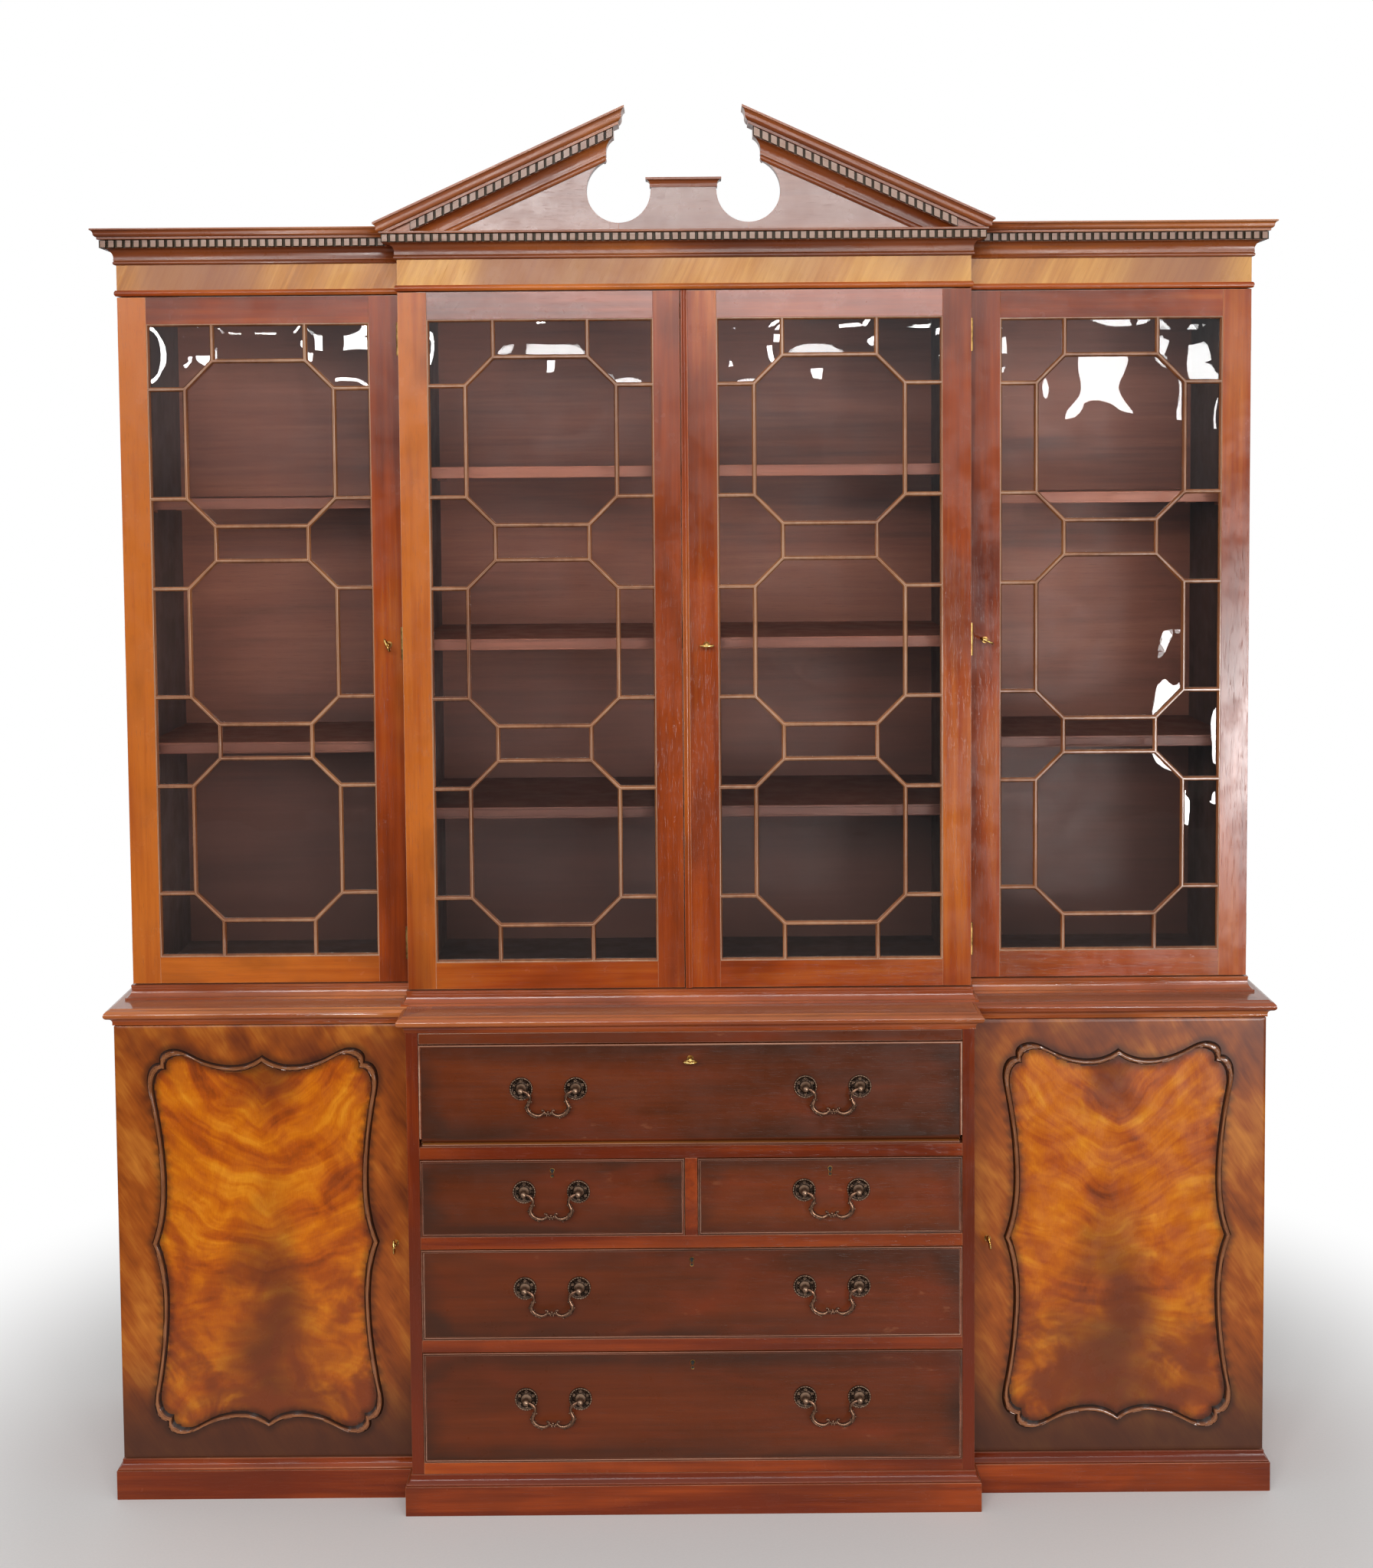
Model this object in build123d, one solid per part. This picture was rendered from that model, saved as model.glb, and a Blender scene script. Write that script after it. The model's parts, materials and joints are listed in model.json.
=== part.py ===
from build123d import *
import math
import os

os.makedirs("parts", exist_ok=True)

# Breakfront secretaire bookcase, in millimetres.
# X runs to the viewer's right, Y runs from the front to the back, Z is up.
# The origin is at floor level, in the middle of the width and of the whole depth.

# Widths and depths of the two carcasses
upper_width = 1984.0
upper_centre_width = 988.0
lower_step_out = 18.0
lower_centre_step_in = 4.0
upper_centre_depth = 398.0
lower_centre_depth = 470.0
upper_break = 56.0
lower_break = 64.0

# Heights, from the floor up
plinth_board_height = 52.0
plinth_moulding_height = 18.0
end_rail_height = 20.0
rail_height = 22.0
bottom_drawer_height = 196.5
long_drawer_height = 160.5
short_drawer_height = 136.5
secretaire_height = 180.5
waist_cove_height = 12.0
waist_board_height = 18.0
base_moulding_height = 25.0
glazed_door_height = 1215.0
torus_height = 10.0
frieze_height = 44.0
cornice_bead_height = 7.0
cornice_fillet_height = 2.0
cornice_cove_height = 18.0
dentil_band_height = 15.0
corona_height = 4.0
cyma_height = 11.0
top_fillet_height = 3.0
pediment_slope_deg = 24.25

# Boards
side_thickness = 22.0
partition_thickness = 21.0
lower_side_thickness = 20.0
shelf_thickness = 20.0
shelf_reed = 3.2
shelf_groove = 1.4
shelf_round_share = 0.45
back_thickness = 12.0
back_rebate = 8.0
frieze_board_thickness = 22.0
dust_board_thickness = 8.0
runner_width = 40.0
rail_depth = 60.0
muntin_width = 22.0
plinth_thickness = 22.0
plinth_bearer_width = 60.0
pediment_board_thickness = 22.0
inner_shelf_setback = 46.0
cupboard_shelf_height = 372.0
# The tops of the three centre shelves and of the two in each wing, as shares of the doors' height
centre_shelf_shares = (0.258, 0.504, 0.753)
wing_shelf_shares = (0.35, 0.71)

# Projections of the mouldings beyond the face that carries them
plinth_overhang = 11.0
plinth_fillet = 3.0
plinth_step = 2.0
waist_overhang = 15.0
waist_edge_width = 40.0
waist_nose_share = 0.33
waist_cove_reach = 8.0
base_moulding_reach = 12.0
base_moulding_fillet = 4.0
base_moulding_step = 3.0
torus_reach = 4.0
bead_reach = 2.0
cove_foot = 4.0
cove_head = 15.0
dentil_band_reach = 17.0
dentil_reach = 24.0
corona_reach = 26.0
cyma_foot = 27.0
cyma_head = 35.0
cornice_reach = 36.0
moulding_bulge_share = 0.16
bead_bulge_share = 0.42
cove_hollow_share = 0.2

# Dentils
dentil_pitch = 14.6
dentil_width = 10.4
dentil_backing = 2.0
dentil_margin = 1.0

# Pediment
circle_radius = 55.0
circle_side_gap = 0.5
pedestal_width = 112.0
pedestal_cap_height = 16.0
pedestal_cap_reach = 9.0
pedestal_cap_fillet = 4.0
pedestal_top_height = 90.0
circle_floor_height = 14.0
rake_gap_width = 272.0
rake_depth = 75.0
rake_bead_height = 10.0
rake_fillet_height = 3.0
rake_cove_height = 20.0
rake_dentil_height = 16.0
rake_corona_height = 5.0
rake_cyma_height = 17.0

# Glazed doors
door_thickness = 22.0
hinge_stile = 49.5
door_rail = 47.0
wing_lock_stile = 54.2
left_meeting_stile = 46.0
right_meeting_stile = 61.5
door_gap = 2.0
joint_gap = 1.0
wing_door_clearance = 4.3
meeting_gap = 1.5
meeting_line = -8.5
rebate_width = 6.0
bar_front = 1.0
bar_nose = 2.4
bar_width = 8.0
bar_bevel = 4.0
glass_front = 9.0
glass_thickness = 2.5
web_width = 2.4
web_depth = 5.0
glass_clearance = 0.3
glass_in_rebate = 5.0
glazing_gap = 60.5
octagon_count = 3
# The margin beside the octagons and their cut corners, as shares of the width between the stiles
glazing_margin_share = 0.1654
glazing_chamfer_share = 0.1256
meeting_bead_width = 12.0
meeting_bead_reach = 5.0
meeting_bead_fillet = 2.5

# Cupboard doors
cupboard_door_thickness = 22.0
panel_moulding_width = 13.0
panel_moulding_reach = 6.5
panel_moulding_bevel = 3.5
# The outline of the shaped moulding, as shares of the width and height of its door
panel_width_share = 0.7835
panel_height_share = 0.8950
# The quarter outline of the shaped moulding, as shares of its half width and half height:
# the top cusp, the dip beside it, the ear's top and its turn, the notch, the ear's side, the waist, the side cusp
cusp_shares = (0.0, 0.965)
dip_shares = (0.30, 0.915)
rise_shares = (0.56, 0.955)
ear_top_shares = (0.78, 1.0)
ear_top_turn_shares = (0.868, 0.978)
notch_shares = (0.888, 0.930)
ear_side_turn_shares = (0.958, 0.913)
ear_side_shares = (1.0, 0.852)
shoulder_shares = (0.985, 0.76)
waist_shares = (0.905, 0.36)
side_cusp_shares = (0.99, 0.0)

# Hinges
hinge_length = 57.0
hinge_knuckle_radius = 3.0
hinge_pin_radius = 1.3
hinge_leaf_width = 16.0
hinge_leaf_thickness = 1.5
hinge_leaf_gap = 0.1
hinge_knuckle_gap = 0.3
pin_clearance = 0.06
door_hinge_inset = 78.0
cupboard_hinge_inset = 90.0
door_hinge_count = 3
cupboard_hinge_count = 2

# Drawers
drawer_front_thickness = 20.0
drawer_gap = 1.0
cockbead_thickness = 4.0
cockbead_depth = 14.0
cockbead_reach = 2.5
drawer_side_thickness = 10.0
drawer_back_thickness = 10.0
drawer_bottom_thickness = 7.0
drawer_bottom_inset = 8.0
drawer_side_drop = 14.0
drawer_back_space = 24.0
runner_clearance = 0.3
drawer_side_clearance = 1.0

# Secretaire drawer
fall_thickness = 20.0
fall_axis_in = 10.0
fall_lift = 0.5
fall_top_gap = 1.5
fall_hinge_gap = 0.3
fall_pin_radius = 2.0
fall_lug_width = 20.0
fall_lug_thickness = 5.0
fall_pin_length = 56.0
fall_hinge_inset = 110.0
secretaire_side_thickness = 12.0
secretaire_floor_thickness = 16.0
secretaire_roof_thickness = 8.0
secretaire_bead_depth = 50.0
quadrant_outer = 112.0
quadrant_inner = 102.0
quadrant_thickness = 3.0
quadrant_tail_deg = 6.5
quadrant_gap = 1.0
quadrant_slot_margin = 1.0
quadrant_foot = 14.0
quadrant_foot_width = 12.0
interior_depth = 165.0
interior_board = 7.0
interior_slot_count = 4
small_drawer_width = 150.0
valance_height = 24.0
valance_thickness = 5.0
valance_arch_share = 0.86
valance_crown_share = 0.35
small_drawer_wall = 6.0
small_drawer_front = 9.0
small_knob_radius = 6.5
small_knob_reach = 13.0
small_knob_neck = 3.0
small_knob_neck_length = 6.0
small_drawer_gap = 0.8

# Drawer handles
handle_spread = 94.0
rose_radius = 20.0
rose_thickness = 3.0
rose_dome_radius = 10.0
rose_dome_height = 4.0
post_radius = 5.5
bail_pivot_reach = 15.0
bail_wire_radius = 2.4
bail_bore_clearance = 0.08
bail_inner_gap = 0.3
bail_pin_depth = 7.0
bail_drop = 43.0
bail_knee_drop = 35.0
bail_knee_half = 36.0
bail_neck_half = 33.5
bail_foot_half = 21.0
bail_cusp_drop = 37.0
bail_small_bend = 4.5
bail_large_bend = 11.0
# How high each row of handles sits, as a share of its drawer's height
secretaire_handle_share = 0.565
short_handle_share = 0.58
long_handle_share = 0.57
bottom_handle_share = 0.575
long_handle_half = 242.5
short_handle_half = 242.0
secretaire_handle_half = 245.0

# Locks, keyholes and keys
escutcheon_radius = 5.75
escutcheon_depth = 1.5
escutcheon_reach = 0.4
keyhole_radius = 3.0
key_shank_radius = 2.4
key_shank_out = 13.0
key_shank_in = 17.0
key_bow_width = 26.0
key_bow_length = 18.0
key_bow_ring = 4.5
key_bow_thickness = 4.0
key_collar_radius = 3.6
key_collar_length = 3.0
lock_width = 34.0
lock_height = 52.0
lock_depth = 10.0
lock_drop_share = 0.25
door_key_height = 1510.0
cupboard_key_height = 457.0
door_key_from_edge = 28.0
centre_key_x = 34.0
cupboard_key_from_edge = 30.0
secretaire_key_height = 802.0
keyhole_drop = 22.0
# How far each key is turned about its shank, from a level bow
left_wing_key_deg = 68.0
right_wing_key_deg = 25.0
left_cupboard_key_deg = 90.0
right_cupboard_key_deg = 80.0
shelf_pin_radius = 3.0
shelf_pin_length = 18.0
shelf_pin_inset = 40.0
overrun = 1.0

# Planes and levels that follow from the sizes above
key_reach = key_shank_out + key_bow_length
overall_depth = lower_centre_depth + key_reach
y_back = overall_depth / 2
y_lower_centre = y_back - lower_centre_depth
y_lower_wing = y_lower_centre + lower_break
y_upper_centre = y_back - upper_centre_depth
y_upper_wing = y_upper_centre + upper_break
x_upper = upper_width / 2
x_upper_centre = upper_centre_width / 2
x_lower = x_upper + lower_step_out
x_lower_centre = x_upper_centre - lower_centre_step_in
x_opening = x_lower_centre - partition_thickness
z_lower = plinth_board_height + plinth_moulding_height
z_bottom_drawer = z_lower + end_rail_height
z_long_drawer = z_bottom_drawer + bottom_drawer_height + rail_height
z_short_drawer = z_long_drawer + long_drawer_height + rail_height
z_secretaire = z_short_drawer + short_drawer_height + rail_height
z_lower_top = z_secretaire + secretaire_height + end_rail_height
z_waist = z_lower_top + waist_cove_height + waist_board_height
z_door = z_waist + base_moulding_height + door_gap
z_door_top = z_door + glazed_door_height
z_torus = z_door_top + door_gap
z_frieze = z_torus + torus_height
z_cornice = z_frieze + frieze_height
z_cornice_cove = z_cornice + cornice_bead_height + cornice_fillet_height
z_dentils = z_cornice_cove + cornice_cove_height
z_corona = z_dentils + dentil_band_height
z_cyma = z_corona + corona_height
z_cornice_top = z_cyma + cyma_height + top_fillet_height
sight_height = glazed_door_height - 2 * door_rail
rake_rise = math.tan(math.radians(pediment_slope_deg))
x_rake_end = rake_gap_width / 2
x_circle = pedestal_width / 2 + circle_radius + circle_side_gap
z_circle = z_cyma + circle_floor_height + circle_radius
y_glazed_joint_centre = y_upper_centre + door_thickness + joint_gap / 2
y_glazed_joint_wing = y_upper_wing + door_thickness + joint_gap / 2
y_cupboard_joint = y_lower_wing + cupboard_door_thickness + joint_gap / 2
hinge_axis_out = hinge_knuckle_radius + hinge_knuckle_gap
wing_door_width = x_upper - x_upper_centre - wing_door_clearance
left_centre_door_width = x_upper_centre + meeting_line
right_centre_door_width = x_upper_centre - meeting_line - meeting_gap
cupboard_door_width = x_lower - x_lower_centre - door_gap
cupboard_door_height = z_lower_top - z_lower - 2 * door_gap
panel_half_width = panel_width_share * cupboard_door_width / 2
panel_half_height = panel_height_share * cupboard_door_height / 2
y_fall_axis = y_lower_centre + fall_axis_in
z_fall = z_secretaire + drawer_gap + cockbead_thickness + fall_lift
z_fall_axis = z_fall + fall_axis_in
z_head = z_secretaire + secretaire_height
z_fall_top = z_head - fall_top_gap
z_desk = z_fall_axis + fall_thickness - fall_axis_in
z_bail_secretaire = z_secretaire + secretaire_handle_share * secretaire_height
z_bail_short = z_short_drawer + short_handle_share * short_drawer_height
z_bail_long = z_long_drawer + long_handle_share * long_drawer_height
z_bail_bottom = z_bottom_drawer + bottom_handle_share * bottom_drawer_height


def block(x, y, z):
    """A box that fills three (low, high) spans."""
    spans = (x, y, z)
    middle = [(low + high) / 2 for low, high in spans]
    return Pos(*middle) * Box(*[abs(high - low) for low, high in spans])


def rod(start, end, radius):
    """A cylinder from one point to another."""
    start, end = Vector(*start), Vector(*end)
    way = end - start
    return extrude(Plane(origin=start, z_dir=way) * Circle(radius), way.length)


def save(name, *pieces):
    """Write one node, each piece of it a separate solid."""
    solids = [solid for piece in pieces for solid in piece.solids()]
    export_step(Compound(solids), f"parts/{name}.step")


def outline(start, steps, rise=0.0):
    """A closed face from points; a step (u, z, share) is an arc that bulges by that share of its chord.

    A positive share bulges to the right of the way along. Rise lifts each point with its distance out.
    """
    def lifted(point):
        return (point[0], point[1] + rise * point[0])

    edges, here = [], start
    for step in steps:
        there = step[:2]
        if len(step) == 2:
            edges.append(Line(lifted(here), lifted(there)))
        else:
            along = (there[0] - here[0], there[1] - here[1])
            middle = ((here[0] + there[0]) / 2 + step[2] * along[1],
                      (here[1] + there[1]) / 2 - step[2] * along[0])
            edges.append(ThreePointArc(lifted(here), lifted(middle), lifted(there)))
        here = there
    edges.append(Line(lifted(here), lifted(start)))
    return make_face(edges)


def breakfront_path(half_width, half_centre, y_wing, y_centre):
    """The plan line of a breakfront, from the left back corner round to the right back corner."""
    left = [(-half_width, y_back), (-half_width, y_wing), (-half_centre, y_wing), (-half_centre, y_centre)]
    return left + [(-x, y) for x, y in reversed(left)]


def heading(start, end):
    return (Vector(*end) - Vector(*start)).normalized()


def moulding_run(face, path, number, z, reach):
    """One mitred length of moulding along one side of a plan path; the face is drawn as (out, up)."""
    start, end = path[number], path[number + 1]
    way = heading(start, end)
    out = Vector(way.Y, -way.X, 0)
    base = Vector(end[0], end[1], z) + way * reach
    length = (Vector(*end) - Vector(*start)).length + 2 * reach
    piece = extrude(Plane(origin=base, x_dir=out, z_dir=-way) * face, length)
    first = way if number == 0 else way + heading(path[number - 1], start)
    last = way if number + 2 == len(path) else way + heading(end, path[number + 2])
    piece = split(piece, Plane(origin=(start[0], start[1], z), z_dir=first), Keep.TOP)
    return split(piece, Plane(origin=(end[0], end[1], z), z_dir=last), Keep.BOTTOM)


def moulding(face, path, z, reach, numbers=None):
    """Every mitred length of a moulding round a plan path, or only the numbered ones."""
    if numbers is None:
        numbers = range(len(path) - 1)
    return [moulding_run(face, path, number, z, reach) for number in numbers]


upper_path = breakfront_path(x_upper, x_upper_centre, y_upper_wing, y_upper_centre)
lower_path = breakfront_path(x_lower, x_lower_centre, y_lower_wing, y_lower_centre)
# Of the seven straight runs of such a path, the middle one is the front of the centre
centre_front = 3
other_runs = [number for number in range(2 * centre_front + 1) if number != centre_front]


def make_plinth():
    """Mitred plinth boards with a moulding on top, a back rail and bearers between them."""
    inner = -plinth_thickness
    board = outline((inner, 0), [(plinth_overhang, 0), (plinth_overhang, plinth_board_height),
                                 (inner, plinth_board_height)])
    top = plinth_moulding_height
    nose = plinth_overhang - plinth_step
    cap = outline((inner, 0), [(nose, 0), (nose, plinth_fillet),
                               (nose - plinth_fillet, plinth_fillet + plinth_step),
                               (plinth_step, top - plinth_fillet, -moulding_bulge_share),
                               (plinth_step, top), (inner, top)])
    reach = plinth_thickness + plinth_overhang
    pieces = moulding(board, lower_path, 0, reach) + moulding(cap, lower_path, plinth_board_height, reach)
    half_inside = x_lower - plinth_thickness
    back = (y_back - plinth_thickness, y_back)
    pieces.append(block((-half_inside, half_inside), back, (0, z_lower)))
    for x in (-x_lower_centre + plinth_thickness + plinth_bearer_width / 2, 0,
              x_lower_centre - plinth_thickness - plinth_bearer_width / 2):
        across = (x - plinth_bearer_width / 2, x + plinth_bearer_width / 2)
        pieces.append(block(across, (y_lower_centre + plinth_thickness, back[0]), (0, z_lower)))
    save("plinth", *pieces)


def make_lower_carcass(hinge_cuts):
    """Sides, partitions, bottoms and tops of the lower case."""
    wing_front = y_cupboard_joint + joint_gap / 2
    back_face = y_back - back_thickness
    pieces = []
    for side in (-1, 1):
        outer = block((side * x_lower, side * (x_lower - lower_side_thickness)),
                      (wing_front, y_back), (z_lower, z_lower_top))
        rebate = block((side * (x_lower - lower_side_thickness - overrun), side * (x_lower - back_rebate)),
                       (back_face, y_back + overrun), (z_lower - overrun, z_lower_top + overrun))
        pieces.append(outer - rebate - hinge_cuts)
        pieces.append(block((side * x_opening, side * x_lower_centre),
                            (y_lower_centre, back_face), (z_lower, z_lower_top)))
        wing = (side * x_lower_centre, side * (x_lower - lower_side_thickness))
        for low in (z_lower, z_lower_top - end_rail_height):
            pieces.append(block(wing, (wing_front, back_face), (low, low + end_rail_height)))
    centre = (-x_opening, x_opening)
    pieces.append(block(centre, (y_lower_centre, back_face), (z_lower, z_bottom_drawer)))
    save("lower_carcass", *pieces)


def make_backs():
    """The two boarded backs, held in the rebates of the sides."""
    back = (y_back - back_thickness, y_back)
    lower_half = x_lower - back_rebate
    upper_half = x_upper - back_rebate
    save("back_boards",
         block((-lower_half, lower_half), back, (z_lower, z_lower_top)),
         block((-upper_half, upper_half), back, (z_waist, z_torus)))


def make_drawer_rails():
    """Front rails, runners and dust boards between the drawers, with the short drawers' muntin."""
    back_face = y_back - back_thickness
    runner_front = y_lower_centre + rail_depth
    levels = [z_long_drawer - rail_height, z_short_drawer - rail_height, z_secretaire - rail_height]
    pieces = []
    for level in levels:
        span = (level, level + rail_height)
        pieces.append(block((-x_opening, x_opening), (y_lower_centre, runner_front), span))
        inner = x_opening - runner_width
        for side in (-1, 1):
            pieces.append(block((side * inner, side * x_opening), (runner_front, back_face), span))
        middle = level + rail_height / 2
        dust = (middle - dust_board_thickness / 2, middle + dust_board_thickness / 2)
        if level == levels[1]:
            half = muntin_width / 2 + runner_width
            pieces.append(block((-half, half), (runner_front, back_face), span))
            for side in (-1, 1):
                pieces.append(block((side * half, side * inner), (runner_front, back_face), dust))
        else:
            pieces.append(block((-inner, inner), (runner_front, back_face), dust))
    muntin = (-muntin_width / 2, muntin_width / 2)
    pieces.append(block(muntin, (y_lower_centre, back_face),
                        (z_short_drawer, z_short_drawer + short_drawer_height)))
    save("drawer_rails", *pieces)


def make_waist():
    """The flat top of the lower case with its thumb-moulded edge, and the base moulding of the upper case."""
    inner = -waist_edge_width
    cove_top = waist_cove_height
    cove = outline((inner, 0), [(plinth_step, 0), (plinth_step, plinth_fillet),
                                (waist_cove_reach, cove_top, -cove_hollow_share), (inner, cove_top)])
    nose_low = waist_nose_share * waist_board_height
    shelf = waist_overhang - waist_board_height / 2
    edge = outline((inner, 0), [(waist_cove_reach, 0), (waist_overhang, nose_low, moulding_bulge_share),
                                (waist_overhang, nose_low + plinth_step),
                                (shelf, waist_board_height - plinth_step, moulding_bulge_share),
                                (shelf - plinth_step, waist_board_height), (inner, waist_board_height)])
    reach = waist_edge_width + waist_overhang
    pieces = moulding(cove, lower_path, z_lower_top, reach)
    pieces += moulding(edge, lower_path, z_lower_top + waist_cove_height, reach)
    field = (z_lower_top, z_waist)
    wing_front = y_lower_wing + waist_edge_width
    centre_half = x_lower_centre - waist_edge_width
    wing_half = x_lower - waist_edge_width
    pieces.append(block((-wing_half, wing_half), (wing_front, y_back), field))
    pieces.append(block((-centre_half, centre_half), (y_lower_centre + waist_edge_width, wing_front), field))
    thick = -(door_thickness + joint_gap)
    reach_in = base_moulding_reach
    top = base_moulding_height
    base = outline((thick, 0), [(reach_in, 0), (reach_in, base_moulding_fillet),
                                (reach_in - base_moulding_step, base_moulding_fillet),
                                (base_moulding_step, top - base_moulding_step, -moulding_bulge_share),
                                (base_moulding_step, top), (thick, top)])
    behind = y_back + overrun
    tall = (z_waist - overrun, z_waist + top + overrun)
    carcass = [block((-x_upper, x_upper), (y_upper_wing - thick, behind), tall),
               block((-x_upper_centre, x_upper_centre), (y_upper_centre - thick, behind), tall)]
    pieces += [run - carcass for run in moulding(base, upper_path, z_waist, reach_in - thick)]
    save("waist", *pieces)


def make_upper_carcass(hinge_cuts):
    """Sides, partitions, bottoms and tops of the bookcase."""
    wing_front = y_glazed_joint_wing + joint_gap / 2
    centre_front_y = y_glazed_joint_centre + joint_gap / 2
    back_face = y_back - back_thickness
    span = (z_waist, z_torus)
    pieces = []
    inner_side = x_upper - side_thickness
    inner_centre = x_upper_centre - side_thickness
    for side in (-1, 1):
        outer = block((side * x_upper, side * inner_side), (wing_front, y_back), span)
        rebate = block((side * (inner_side - overrun), side * (x_upper - back_rebate)),
                       (back_face, y_back + overrun), (span[0] - overrun, span[1] + overrun))
        pieces.append(outer - rebate - hinge_cuts)
        partition = block((side * x_upper_centre, side * inner_centre), (centre_front_y, back_face), span)
        pieces.append(partition - hinge_cuts)
        for low, high in ((z_waist, z_waist + base_moulding_height), (z_torus - side_thickness, z_torus)):
            pieces.append(block((side * x_upper_centre, side * inner_side),
                                (wing_front, back_face), (low, high)))
    for low, high in ((z_waist, z_waist + base_moulding_height), (z_torus - side_thickness, z_torus)):
        pieces.append(block((-inner_centre, inner_centre), (centre_front_y, back_face), (low, high)))
    save("upper_carcass", *pieces)


def moulded_shelf(x, y, z_top):
    """A shelf whose front edge has a reed at its top and one at its foot."""
    board = block(x, y, (z_top - shelf_thickness, z_top))
    for low in (z_top - shelf_reed - shelf_groove, z_top - shelf_thickness + shelf_reed):
        board -= block(x, (y[0] - overrun, y[0] + shelf_groove), (low, low + shelf_groove))
    front = board.edges().filter_by(Axis.X).group_by(Axis.Y)[0].sort_by(Axis.Z)
    return fillet([front[0], front[-1]], shelf_round_share * shelf_reed)


def make_shelves():
    """Three centre shelves, two in each wing and one in each cupboard, each lying on four pins."""
    back_face = y_back - back_thickness
    bays = []
    for share in centre_shelf_shares:
        half = x_upper_centre - side_thickness
        front = y_upper_centre + inner_shelf_setback
        bays.append(((-half, half), front, z_door + share * glazed_door_height))
    for side in (-1, 1):
        wing = sorted((side * x_upper_centre, side * (x_upper - side_thickness)))
        for share in wing_shelf_shares:
            bays.append((wing, y_upper_wing + inner_shelf_setback, z_door + share * glazed_door_height))
        cupboard = sorted((side * x_lower_centre, side * (x_lower - lower_side_thickness)))
        bays.append((cupboard, y_lower_wing + inner_shelf_setback, z_lower + cupboard_shelf_height))
    pieces = []
    for (low, high), front, top in bays:
        gap = runner_clearance
        pieces.append(moulded_shelf((low + gap, high - gap), (front, back_face - gap), top))
        z_pin = top - shelf_thickness - shelf_pin_radius
        for y in (front + shelf_pin_inset, back_face - shelf_pin_inset):
            pieces.append(rod((low, y, z_pin), (low + shelf_pin_length, y, z_pin), shelf_pin_radius))
            pieces.append(rod((high - shelf_pin_length, y, z_pin), (high, y, z_pin), shelf_pin_radius))
    save("shelves", *pieces)


def make_frieze():
    """The frieze boards that carry the cornice, with the torus bead along their foot."""
    inner = -frieze_board_thickness

    def board(height):
        return outline((inner, 0), [(0, 0), (0, height), (inner, height)])

    wing_board = board(z_cornice_top - z_torus)
    centre_board = board(z_cyma - z_torus)
    bead = outline((0, 0), [(plinth_step, 0), (plinth_step, torus_height, bead_bulge_share / 2),
                            (0, torus_height)])
    reach = frieze_board_thickness + torus_reach
    pieces = moulding(wing_board, upper_path, z_torus, reach, other_runs)
    pieces += moulding(centre_board, upper_path, z_torus, reach, [centre_front])
    pieces += moulding(bead, upper_path, z_torus, reach)
    save("frieze", *pieces)


def cornice_steps(with_cyma):
    """The cornice's section above the frieze: bead, cove, dentil band, corona and cyma."""
    bead, fillet_top = cornice_bead_height, cornice_bead_height + cornice_fillet_height
    cove_top = z_dentils - z_cornice
    band_top = z_corona - z_cornice
    corona_top = z_cyma - z_cornice
    steps = [(bead_reach, 0), (bead_reach, bead, bead_bulge_share), (cove_foot, bead),
             (cove_foot, fillet_top), (cove_head, cove_top, -cove_hollow_share),
             (dentil_band_reach, cove_top), (dentil_band_reach, band_top),
             (corona_reach, band_top), (corona_reach, corona_top)]
    if with_cyma:
        cyma_top = corona_top + cyma_height
        middle = ((cyma_foot + cyma_head) / 2, corona_top + cyma_height / 2)
        steps += [(cyma_foot, corona_top), (*middle, moulding_bulge_share),
                  (cyma_head, cyma_top, -moulding_bulge_share), (cornice_reach, cyma_top),
                  (cornice_reach, z_cornice_top - z_cornice), (0, z_cornice_top - z_cornice)]
    else:
        steps.append((0, corona_top))
    return steps


def tooth_line(low, high, root, tip, pitch, width):
    """Corner points of a comb from one end to the other: along, out."""
    count = max(1, int((high - low - width) / pitch))
    first = (low + high - (count * pitch + width)) / 2
    points = [(low, root)]
    for number in range(count + 1):
        x = first + number * pitch
        points += [(x, root), (x, tip), (x + width, tip), (x + width, root)]
    return points + [(high, root)]


def dentil_strip(start, end, z):
    """A strip of dentils, cut from one piece, along a straight side of the plan."""
    way = heading(start, end)
    out = Vector(way.Y, -way.X, 0)
    length = (Vector(*end) - Vector(*start)).length
    root = dentil_band_reach + dentil_backing
    points = tooth_line(0, length, root, dentil_reach, dentil_pitch, dentil_width)
    points += [(length, dentil_band_reach), (0, dentil_band_reach)]
    base = Vector(start[0], start[1], z + dentil_margin)
    comb = make_face(Polyline([tuple(base + way * along + out * away) for along, away in points], close=True))
    return extrude(comb, dentil_band_height - 2 * dentil_margin, dir=(0, 0, 1))


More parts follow.
